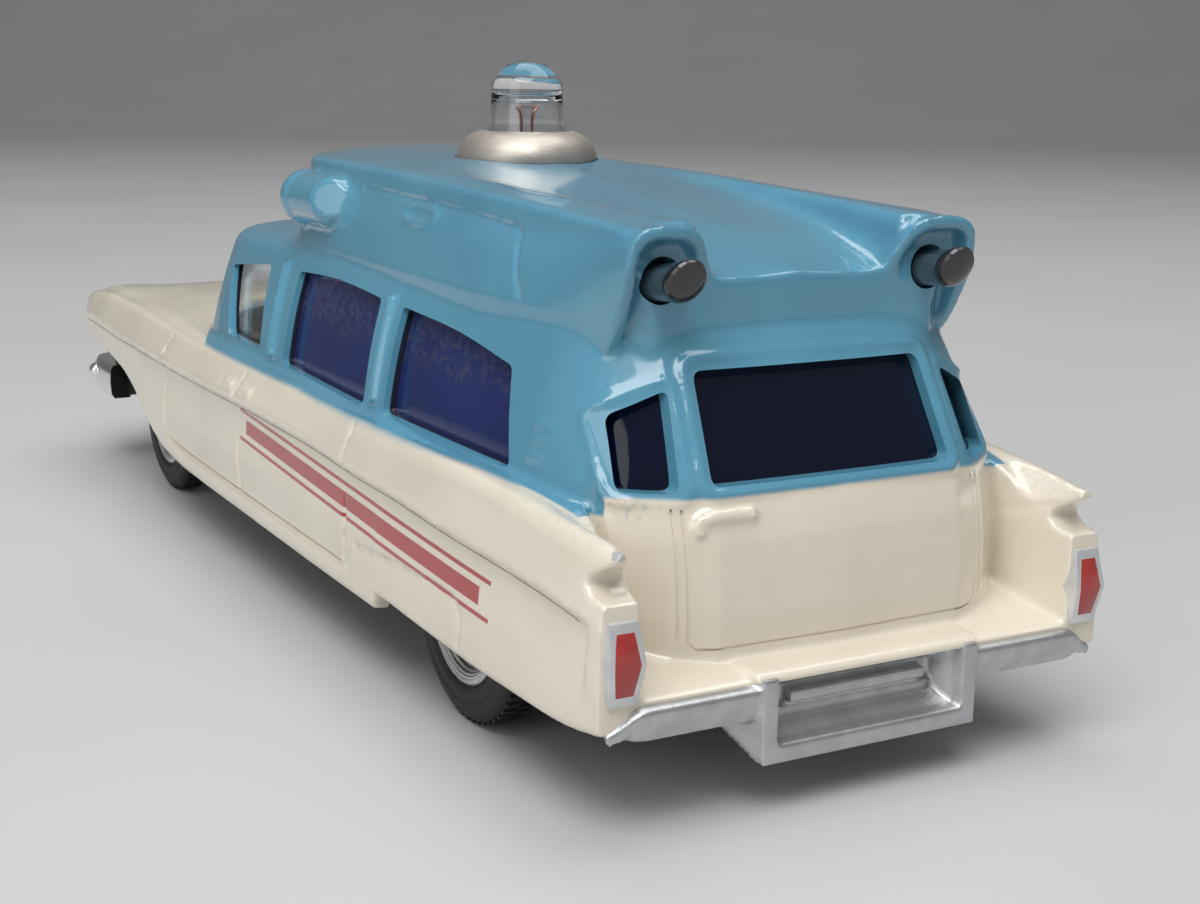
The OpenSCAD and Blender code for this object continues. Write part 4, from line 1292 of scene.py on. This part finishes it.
@dataclass
class RearBumper:
    """The bumper bar with its step frame, painted silver, and the two tail lamps."""

    grain: float = 0.17
    half_y: float = 18.9
    # the bar's section, x and z, and from which y on its ends bend
    section: Outline = ((-60.0, 8.2), (-62.9, 8.25), (-63.35, 8.0), (-63.3, 7.3), (-62.9, 6.1), (-60.0, 5.75))
    bend_y: float = 16.6
    # how the ends move: forward, and down above and up below
    forward: float = 0.6
    drop: float = -1.3
    lift: float = 0.45
    # the step frame and its mouth: x, half width, top and bottom
    frame: Table = ((-60.2, 9.9, 8.3, 5.3), (-62.9, 8.55, 8.75, 3.3), (-63.5, 8.3, 8.7, 3.2))
    mouth: Table = ((-60.9, 6.2, 8.2, 5.6), (-62.6, 7.0, 9.3, 4.6), (-64.2, 7.5, 9.6, 4.2))
    # the strips at the back of the mouth: bottom, top, x of the face and half width
    strips: Table = ((6.3, 7.1, -61.9, 5.3), (5.5, 6.0, -61.4, 6.0), (7.6, 8.3, -61.3, 6.1))
    # where the tail lamps sit: x of their back, y and z of their middle
    lamp_at: Place = (-61.0, 17.95, 11.1)

    def bar(self) -> Shape:
        """The slim bar across the rear, which narrows and bends forward at its ends."""
        rings = []
        for y in np.linspace(-self.half_y, self.half_y, 61):
            end = ease(abs(y), self.bend_y, self.half_y)
            moves = [(x, z, self.drop if z > 7 else self.lift) for x, z in self.section]
            rings.append([Vector((x + self.forward * end, y, z + move * end)) for x, z, move in moves])
        return loft(rings)

    def tray(self, levels: Table) -> Shape:
        """A box whose half width, top and bottom change with x.

        Args:
            levels: x, half width, top and bottom of each section.

        Returns:
            The box.
        """
        return loft(
            [
                [Vector((x, y, z)) for y, z in ((-half, low), (half, low), (half, high), (-half, high))]
                for x, half, high, low in levels
            ]
        )

    def step(self) -> Shape:
        """The bar with the step frame: a tapered tray with an open mouth and strips at its back."""
        bench = Bench(self.bar()).work(self.tray(self.frame), Cut.JOIN).work(self.tray(self.mouth), Cut.TAKE)
        for low, high, deep, half in self.strips:
            bench.work(beam((-60.0, low), (deep, high), half), Cut.JOIN)
        return bench.taken()

    def chevron(self, side: int, deep: float, half: float, wide: float, point: float) -> Shape:
        """A tail lamp's shape: three levels whose middle one stands out.

        Args:
            side: 1 on the left, -1 on the right.
            deep: where the face lies at its top and bottom.
            half: half of its height.
            wide: half of its width.
            point: how far the middle stands out.

        Returns:
            The lamp's shape.
        """
        back, middle, height = self.lamp_at
        rings = []
        for up, out in ((-half, 0.0), (0.0, point), (half, 0.0)):
            spread = wide + out * 0.55
            near, far = (middle - spread) * side, (middle + spread) * side
            places = ((back, near), (back, far), (deep - out, far), (deep - out, near))
            rings.append([Vector((x, y, height + up)) for x, y in places])
        return loft(rings)

    def dress(self) -> None:
        """Makes the bumper and the lamps."""
        silver = Finish(
            "silver_paint", (0.54, 0.55, 0.56), (0.46, 0.47, 0.48), 1.5, (0.30, 0.42), 0.85, 0.02, 0.25
        )
        bright = Finish(
            "bezel_paint", (0.74, 0.75, 0.76), (0.66, 0.67, 0.68), 1.5, (0.34, 0.48), 0.6, 0.01, 0.25
        )
        red = Finish(
            "lamp_red", (0.42, 0.035, 0.030), (0.36, 0.03, 0.026), 1.0, (0.2, 0.3), 0.0, 0.01, 0.4, coat=0.6
        )
        cast = Bench(self.step()).fused(self.grain).eased(3).thinned(40000)
        publish(cast.taken(), "rear_bumper", silver)
        for side, name in SIDE_NAMES.items():
            bezel = softened(self.chevron(side, -62.91, 2.58, 0.98, 0.55), 0.1)
            publish(bezel, f"tail_bezel_{name}", bright)
            lens = softened(self.chevron(side, -63.01, 2.1, 0.64, 0.48), 0.06)
            publish(lens, f"tail_lens_{name}", red)


CHROME = Finish("chrome", (0.86, 0.87, 0.88), (0.78, 0.79, 0.80), 2.0, (0.06, 0.12), 1.0, 0.004, 0.5)
STEEL = Finish(
    "drawn_steel", (0.60, 0.61, 0.62), (0.50, 0.51, 0.52), 1.5, (0.25, 0.40), 1.0, 0.01, 0.2, (1, 0.1, 1)
)
BRASS = Finish("brass_strip", (0.72, 0.54, 0.24), (0.62, 0.45, 0.20), 1.5, (0.20, 0.34), 1.0, 0.008, 0.3)
FIBRE = Finish("fibre_board", (0.26, 0.14, 0.07), (0.20, 0.10, 0.05), 0.8, (0.60, 0.75), 0.0, 0.03, 0.15)
TINPLATE = Finish(
    "black_tinplate", (0.035, 0.035, 0.038), (0.025, 0.025, 0.028), 4.0, (0.32, 0.45), 0.0, 0.012, 0.4
)
COPPER = Finish("copper_wire", (0.36, 0.16, 0.12), (0.28, 0.12, 0.09), 0.6, (0.25, 0.35), 1.0, 0.004, 0.2)


@dataclass
class Glazing:
    """The two window mouldings behind the casting's openings: clear in front, deep blue behind."""

    wall: float = 0.99
    thick: float = 0.8
    low_z: float = 18.95
    top_z: float = 27.85
    split_x: float = 0.6

    def half(self, front: bool) -> Shape:
        """The moulding ahead of the joint or behind it."""
        house = Greenhouse()
        inside = house.solid(18.0, self.wall + self.thick)
        bench = Bench(house.solid(self.low_z, self.wall)).work(inside, Cut.TAKE)
        high = 40.0
        bench.work(beam((-70, self.top_z), (50, high), ACROSS), Cut.TAKE)
        far = -70.0 if front else 50.0
        near = self.split_x if front else self.split_x - 0.2
        return bench.work(beam((far, 10.0), (near, high), ACROSS), Cut.TAKE).taken()

    def dress(self) -> None:
        """Makes both mouldings."""
        clear = ClearFinish(
            "clear_moulding", (0.93, 0.95, 0.95), (0.90, 0.93, 0.93), 6.0, (0.02, 0.06), texture=0.002
        )
        blue = MottledFinish(
            "blue_moulding", (0.010, 0.032, 0.210), (0.006, 0.022, 0.150), 7.0, (0.03, 0.09), texture=0.010,
            texture_size=1.1, bend=1.42, through=0.75,
        )  # fmt: skip
        publish(self.half(True), "front_windows", clear, stands_for=["glazing_front"], sharp=50)
        publish(self.half(False), "rear_windows", blue, stands_for=["glazing_rear"], sharp=50)


@dataclass
class RoofLamps:
    """The two smoked lamps in the hoods' holes."""

    base: Place = (-53.6, 10.45, 31.95)
    tilt: float = 8.0
    slant: float = 0.5
    # radius and place along the lamp
    profile: Outline = (
        (0.0, -1.8), (1.22, -1.8), (1.24, 2.3), (1.36, 2.42), (1.42, 2.7), (1.38, 3.05),
        (1.22, 3.24), (0.7, 3.36), (0.0, 3.4),
    )  # fmt: skip

    def dress(self) -> None:
        """Makes both lamps."""
        smoke = SmokedFinish(
            "smoked_lamp", (0.085, 0.135, 0.165), (0.065, 0.100, 0.125), 0.8, (0.14, 0.26),
            texture=0.02, coat=0.5, through=0.35,
        )  # fmt: skip
        aim = Vector((-math.cos(math.radians(self.tilt)), 0, math.sin(math.radians(self.tilt))))
        turn = Vector((1, 0, 0)).rotation_difference(aim).to_matrix()
        slant = Matrix(((1, 0, -self.slant), (0, 1, 0), (0, 0, 1)))
        for side, name in SIDE_NAMES.items():
            shape = turned(self.profile, (0, 0, 0), Along.X, 40)
            bmesh.ops.rotate(shape, cent=(0, 0, 0), matrix=turn, verts=shape.verts)
            cap = [v for v in shape.verts if v.co.dot(aim) > 2.0]
            bmesh.ops.transform(shape, matrix=slant.to_4x4(), verts=cap)
            place = Vector((self.base[0], self.base[1] * side, self.base[2]))
            bmesh.ops.translate(shape, vec=place, verts=shape.verts)
            publish(shape, f"roof_lamp_{name}", smoke, stands_for=[f"rear_roof_lamp_{name}"])


@dataclass
class Beacon:
    """The roof lamp: a satin collar, and a lens-end bulb with its wires."""

    x: float = -14.6
    # radius and height
    collar: Outline = (
        (3.42, 37.1), (5.72, 37.1), (5.8, 37.55), (5.74, 37.95), (5.5, 38.5), (5.06, 39.02), (4.44, 39.44),
        (3.88, 39.64), (3.58, 39.68), (3.42, 39.54),
    )  # fmt: skip
    glass: Outline = (
        (0.0, 45.3), (0.8, 45.23), (1.5, 45.0), (2.05, 44.6), (2.3, 44.28), (2.5, 44.05), (2.76, 43.8),
        (2.88, 43.4), (2.92, 42.6), (2.98, 41.4), (3.1, 40.2), (3.26, 39.2), (3.28, 38.9), (3.0, 38.8),
        (2.84, 39.05), (2.72, 40.2), (2.62, 41.6), (2.52, 42.4), (2.1, 42.8), (1.4, 42.68),
        (0.7, 42.6), (0.0, 42.58),
    )  # fmt: skip

    foot: Outline = ((0.0, 38.35), (2.6, 38.35), (2.72, 38.5), (2.7, 38.75), (1.2, 39.0), (0.0, 39.05))
    # y and z along the left support
    post: Outline = ((0.46, 38.7), (0.5, 40.4), (0.62, 41.1), (0.98, 41.6))
    coil_r: float = 0.13
    coil_turns: int = 8

    def wires(self) -> Shape:
        """Two supports, the coil between their tips and the bead that holds them."""
        shapes = []
        for side in SIDES:
            post = [(self.x, y * side, z) for y, z in self.post]
            shapes.append(tube(faired(post, 5), 0.13, 8))
        tip, high = self.post[-1]
        steps = self.coil_turns * 10
        coil = []
        for k in range(steps + 1):
            turn = 2 * math.pi * k / 10
            x, z = self.x + self.coil_r * math.cos(turn), high + self.coil_r * math.sin(turn)
            coil.append((x, tip - 2 * tip * k / steps, z))
        shapes.append(tube(coil, 0.035, 6))
        shapes.append(tube([(self.x, -0.75, 39.4), (self.x, 0.75, 39.4)], 0.26, 12))
        return together(shapes)

    def dress(self) -> None:
        """Makes the collar, the bulb, its wires and its foot."""
        satin = Finish(
            "satin_collar", (0.56, 0.51, 0.46), (0.49, 0.44, 0.39), 1.6, (0.42, 0.56), 0.85, 0.02, 0.18,
            (0.2, 0.2, 1.4),
        )  # fmt: skip
        clear = ClearFinish(
            "bulb_glass_clear", (0.97, 0.98, 0.99), (0.94, 0.96, 0.97), 3.0, (0.0, 0.03), texture=0.001
        )
        centre = (self.x, 0, 0)
        collar = turned(self.collar, centre, Along.Z, 96)
        publish(collar, "collar", satin, stands_for=["beacon_collar"])
        glass = turned(self.glass, centre, Along.Z, 72)
        publish(glass, "bulb", clear, "bulb", ["bulb_glass"], 60)
        publish(self.wires(), "bulb_wires", COPPER, "bulb", ["bulb_filament"])
        publish(turned(self.foot, centre, Along.Z, 48), "bulb_foot", FIBRE, "bulb")


@dataclass
class FrontEnd:
    """The plated grille with four lamps, and the bumper that wraps round the wings."""

    # plan of the left half of the bumper, x and y from its end to the middle
    plan: Outline = (
        (52.3, 18.2), (57.4, 18.4), (60.2, 17.9), (61.7, 16.2), (62.4, 11.0), (62.6, 4.0), (62.6, 0.0),
    )  # fmt: skip
    # radius and height of the stud on the bumper's side and of the bullet on its corner
    stud: Outline = ((0.0, 1.4), (0.4, 1.32), (0.75, 1.05), (0.95, 0.6), (1.0, 0.0), (0.0, 0.0))
    bullet: Outline = (
        (0.0, 1.9), (0.55, 1.75), (1.05, 1.3), (1.35, 0.6), (1.42, 0.0), (1.42, -1.0), (0.0, -1.0),
    )  # fmt: skip
    # across the bumper: how far outwards and how high
    section: Outline = (
        (-1.7, 7.3), (0.1, 7.3), (0.45, 7.8), (0.55, 9.2), (0.45, 10.6), (0.1, 11.1), (-1.7, 11.1),
    )  # fmt: skip
    # radius and x of a lamp's rim and of its lens, and the lamps' places
    rim: Outline = ((1.45, 59.0), (1.9, 59.0), (1.95, 60.5), (1.75, 60.8), (1.5, 60.6))
    dome: Outline = ((0.0, 60.75), (0.8, 60.65), (1.5, 60.3), (1.5, 59.4), (0.0, 59.4))
    lamp_ys: Flat = (11.0, 14.7)
    lamp_z: float = 13.9

    def at_lamps(self, profile: Outline) -> list[Shape]:
        """One profile, turned at each of the four lamps."""
        places = [(0, y * side, self.lamp_z) for side in SIDES for y in self.lamp_ys]
        return [turned(profile, place, Along.X, 32) for place in places]

    def bumper(self) -> Shape:
        """The bar, with a bullet on each corner and a stud on each side."""
        half = faired(self.plan, 6)
        path = half + [Vector((p.x, -p.y)) for p in reversed(half[:-1])]
        rings = []
        for point, heading in zip(path, headings(path)):
            along = heading.normalized()
            out = Vector((-along.y, along.x))
            out = out if out.x * 0.2 + out.y * point.y + out.x * point.x > 0 else -out
            rings.append([(point.x + out.x * a, point.y + out.y * a, z) for a, z in self.section])
        ends, studs = [], []
        for side in SIDES:
            stud = [(r, h * side) for r, h in self.stud]
            ends.append(turned(self.bullet, (61.4, 16.2 * side, 9.2), Along.X, 32))
            studs.append(turned(stud, (58.6, 18.2 * side, 9.6), Along.Y, 24))
        return together([loft(rings), *ends, *studs])

    def grille(self) -> Shape:
        """The panel with its fine bars and lamp rims."""
        parts = [beam((58.6, 6.4), (59.2, 16.2), 16.5)]
        for z in np.linspace(10.8, 15.6, 7):
            parts.append(tube([(59.6, -9.2, z), (60.0, 0.0, z), (59.6, 9.2, z)], 0.2, 8))
        for y in np.linspace(-9.0, 9.0, 25):
            parts.append(tube([(59.5, y, 10.6), (59.6, y, 15.8)], 0.16, 8))
        return together([*parts, *self.at_lamps(self.rim)])

    def dress(self) -> None:
        """Makes the plated piece and its lenses."""
        shape = together([self.bumper(), self.grille()])
        publish(shape, "front_bumper_and_grille", CHROME, stands_for=["grille_bumper"])
        lens = ClearFinish(
            "headlamp_lens", (0.9, 0.92, 0.93), (0.8, 0.82, 0.84), 1.0, (0.1, 0.2), texture=0.03, through=0.5
        )
        publish(together(self.at_lamps(self.dome)), "headlamp_lenses", lens)


@dataclass
class Wheel:
    """One wheel: a spun hub and a ribbed tyre."""

    axle: str
    side: int
    ribs: int = 58
    # radius and depth behind the outer face
    hub: Outline = (
        (0.0, 0.08), (0.7, 0.12), (1.02, 0.22), (1.2, 0.5), (1.7, 0.62), (2.7, 0.9), (3.6, 1.0), (4.3, 0.85),
        (4.55, 0.5), (4.8, 0.2), (5.15, 0.08), (5.45, 0.16), (5.58, 0.45),
    )  # fmt: skip
    wall: Outline = (
        (5.55, 0.4), (5.75, 0.12), (6.1, 0.02), (6.6, 0.0), (6.75, 0.1), (6.9, 0.02), (7.4, 0.08),
        (7.8, 0.28), (8.02, 0.55), (8.1, 0.85),
    )  # fmt: skip
    # the rows of ribs: where each starts and ends across the tyre's width, and its lead in parts of a step
    rows: Table = ((0.18, 0.47, 0.0), (0.53, 0.82, 0.5))
    # a rib's length round the tyre and its height, and how far out its middle lies
    rib: Flat = (0.42, 0.34)
    rib_r: float = 8.09

    def dress(self) -> None:
        """Makes the hub and the tyre where the CAD holds them."""
        word = SIDE_NAMES[self.side]
        low, high = (Vector(c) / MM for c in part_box(f"{self.axle}_tyre_{word}"))
        centre = ((low.x + high.x) / 2, 0.0, (low.z + high.z) / 2)
        outer = high.y if self.side > 0 else low.y
        width = high.y - low.y
        spun = SpunFinish(
            f"spun_hub_{self.axle}", (0.72, 0.73, 0.74), (0.62, 0.63, 0.64), 2.0, (0.22, 0.34), 1.0, 0.02,
            axis_x=centre[0], axis_z=centre[2],
        )  # fmt: skip
        rubber = Finish(
            "tyre_rubber", (0.016, 0.016, 0.017), (0.010, 0.010, 0.011), 1.2, (0.5, 0.68), 0.0, 0.02, 0.12
        )
        body = f"{self.axle}_wheels"
        hub, tyre = f"{self.axle}_hub_{word}", f"{self.axle}_tyre_{word}"
        dish = [*self.hub, (5.58, width - 0.4), (0.0, width - 0.4)]
        shape = turned([(r, outer - self.side * t) for r, t in dish], centre, Along.Y, 72)
        publish(shape, f"{hub}_spun", spun, body, [hub], 40)
        back = [(r, width - t) for r, t in reversed(self.wall)]
        shape = turned([(r, outer - self.side * t) for r, t in (*self.wall, *back)], centre, Along.Y, 96)
        shape = together([shape, self.tread(centre, outer, width)])
        publish(shape, f"{tyre}_ribbed", rubber, body, [tyre], 40)

    def tread(self, centre: Place, outer: float, width: float) -> Shape:
        """Short ribs across the tread, in two rows that step past each other.

        Args:
            centre: a point of the axle.
            outer: y of the tyre's outer face.
            width: the tyre's width.

        Returns:
            All the ribs.
        """
        rows = []
        long, tall = self.rib
        for first, last, lead in self.rows:
            shape = bmesh.new()
            bmesh.ops.create_cube(shape, size=1.0)
            bmesh.ops.scale(shape, vec=(long, (last - first) * width, tall), verts=shape.verts)
            y = outer - self.side * width * (first + last) / 2
            bmesh.ops.translate(shape, vec=(centre[0], y, centre[2] + self.rib_r), verts=shape.verts)
            step = 2 * math.pi / self.ribs
            turn = Matrix.Rotation(step * lead, 3, "Y")
            bmesh.ops.rotate(shape, cent=(centre[0], 0, centre[2]), matrix=turn, verts=shape.verts)
            bmesh.ops.spin(
                shape,
                geom=everything(shape),
                cent=(centre[0], 0, centre[2]),
                axis=(0, 1, 0),
                angle=step * (self.ribs - 1),
                steps=self.ribs - 1,
                use_duplicate=True,
            )
            rows.append(shape)
        return together(rows)


@dataclass(frozen=True)
class Works:
    """Finishes of the CAD nodes that stay as they are: base, seat, lamp circuit and running gear."""

    def finishes(self) -> dict[str, Finish]:
        """The finish of each node."""
        seat = Finish(
            "seat_moulding", (0.46, 0.36, 0.27), (0.38, 0.29, 0.21), 2.5, (0.5, 0.65), 0.0, 0.03, 0.3
        )
        wheel = Finish(
            "wheel_moulding", (0.60, 0.20, 0.18), (0.52, 0.16, 0.15), 1.0, (0.25, 0.35), 0.0, 0.01, 0.4
        )
        cell = Finish("cell_can", (0.16, 0.22, 0.18), (0.12, 0.17, 0.14), 3.0, (0.3, 0.4), 0.2, 0.01, 0.5)
        table = {"seat_tray": seat, "steering_wheel": wheel, "battery_cell": cell}
        for finish, nodes in (
            (TINPLATE, ("base_plate", "battery_hatch")),
            (STEEL, ("base_rivets", "steer_pin", "rear_axle_bracket", "hatch_pin", "front_axle_bracket")),
            (STEEL, ("front_axle", "rear_axle")),
            (BRASS, ("lamp_socket", "lamp_contact", "feed_strip", "bulb_cap", "contact_wiper")),
            (BRASS, ("battery_contact_front", "battery_contact_rear")),
            (FIBRE, ("socket_insulator", "battery_cradle", "contact_cam")),
        ):
            table.update({node: finish for node in nodes})
        return table

    def dress(self, nodes: dict[str, bpy.types.Object]) -> None:
        """Gives each node its finish."""
        for node, finish in self.finishes().items():
            mesh = nodes[node].data
            if not mesh.materials:
                mesh.materials.append(finish.material())
            for slot in nodes[node].material_slots:
                slot.material = finish.material()
        LOG.info("finishes on %d CAD nodes", len(self.finishes()))


@dataclass(frozen=True)
class Studio:
    """Camera, lights and floor."""

    eye: Place = (-148.141, 67.437, 45.227)
    yaw: float = -0.51033
    pitch: float = -0.21474
    roll: float = 0.01332
    lens: float = 53.591
    floor_colour: Colour = (0.55, 0.55, 0.55)
    # how far the floor's bend lies behind the toy, its radius, and how far the floor reaches
    bend_at: float = 900.0
    bend_r: float = 700.0
    reach: float = 4000.0

    def camera(self) -> None:
        """Sets the camera where the photograph was taken from."""
        level = math.cos(self.pitch)
        look = Vector((level * math.cos(self.yaw), level * math.sin(self.yaw), math.sin(self.pitch)))
        right = look.cross(Vector((0, 0, 1))).normalized()
        up = right.cross(look)
        turn_right = right * math.cos(self.roll) + up * math.sin(self.roll)
        turn_up = up * math.cos(self.roll) - right * math.sin(self.roll)
        data = bpy.data.cameras.new("camera")
        data.sensor_fit = "HORIZONTAL"
        data.sensor_width = 36.0
        data.lens = self.lens
        data.clip_start = 0.005
        data.clip_end = 20.0
        camera = set_out("camera", data)
        place = Matrix((turn_right, turn_up, -look)).transposed().to_4x4()
        place.translation = Vector(self.eye) * MM
        camera.matrix_world = place
        bpy.context.scene.camera = camera

    def floor(self) -> None:
        """A wide pale floor that curves up into a wall far behind the toy."""
        shape = bmesh.new()
        ahead = Vector((math.cos(self.yaw), math.sin(self.yaw), 0))
        across = Vector((-ahead.y, ahead.x, 0))
        bends = [math.radians(90 * k / 24) for k in range(1, 25)]
        at, r = self.bend_at, self.bend_r
        path = [(-self.reach, 0.0), (at, 0.0)]
        path += [(at + r * math.sin(a), r - r * math.cos(a)) for a in bends]
        path.append((at + r, self.reach))
        start = [shape.verts.new(ahead * path[0][0] + across * side * self.reach) for side in SIDES]
        edges = [shape.edges.new(start)]
        for (far, high), (next_far, next_high) in zip(path, path[1:]):
            grown = bmesh.ops.extrude_edge_only(shape, edges=edges)["geom"]
            verts = [g for g in grown if isinstance(g, bmesh.types.BMVert)]
            edges = [g for g in grown if isinstance(g, bmesh.types.BMEdge)]
            move = ahead * (next_far - far) + Vector((0, 0, next_high - high))
            bmesh.ops.translate(shape, verts=verts, vec=move)
        bmesh.ops.recalc_face_normals(shape, faces=shape.faces)
        shade = tuple(c * 0.96 for c in self.floor_colour)
        pale = Finish("pale_floor", self.floor_colour, shade, 60.0, (0.4, 0.5), texture=0.004)
        floor = finished(shape, "floor", pale)

    def lamp(self, name: str, place: Place, size: Flat, watts: float) -> None:
        """A soft lamp that looks at the toy.

        Args:
            name: its name.
            place: where it hangs, in millimetres.
            size: width and height of its face.
            watts: its power.
        """
        data = bpy.data.lights.new(name, "AREA")
        data.shape = "RECTANGLE"
        data.size, data.size_y = size[0] * MM, size[1] * MM
        data.energy = watts
        lamp = set_out(name, data)
        lamp.location = Vector(place) * MM
        aim = Vector((0, 0, 0.02)) - lamp.location
        lamp.rotation_euler = aim.to_track_quat("-Z", "Y").to_euler()

    def lights(self) -> None:
        """Soft studio light from above, with a weaker fill from the camera's side."""
        self.lamp("key", (-260, 240, 620), (520, 420), 3.6)
        self.lamp("top", (120, -160, 700), (700, 500), 2.6)
        self.lamp("fill", (-260, 620, 240), (420, 420), 0.9)
        world = bpy.data.worlds.new("studio")
        bpy.context.scene.world = world
        world.use_nodes = True
        back = world.node_tree.nodes["Background"]
        back.inputs["Color"].default_value = (0.80, 0.81, 0.82, 1)
        back.inputs["Strength"].default_value = 0.30
        bpy.context.scene.view_settings.view_transform = "Standard"

    def build(self) -> None:
        """Sets up the whole studio."""
        self.camera()
        self.floor()
        self.lights()


def corners(box: tuple[Vector, Vector]) -> list[list[float]]:
    """A box's two corners as plain lists."""
    return [[round(v, 6) for v in corner] for corner in box]


def main() -> None:
    """Builds the scene piece by piece."""
    logging.basicConfig(level=logging.INFO, format="%(name)s: %(message)s")
    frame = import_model()
    Studio().build()
    BodyCasting().dress()
    RearBumper().dress()
    Glazing().dress()
    RoofLamps().dress()
    Beacon().dress()
    FrontEnd().dress()
    for axle in ("front", "rear"):
        for side in SIDES:
            Wheel(axle, side).dress()
    Works().dress(frame["nodes"])


if __name__ == "__main__":
    main()
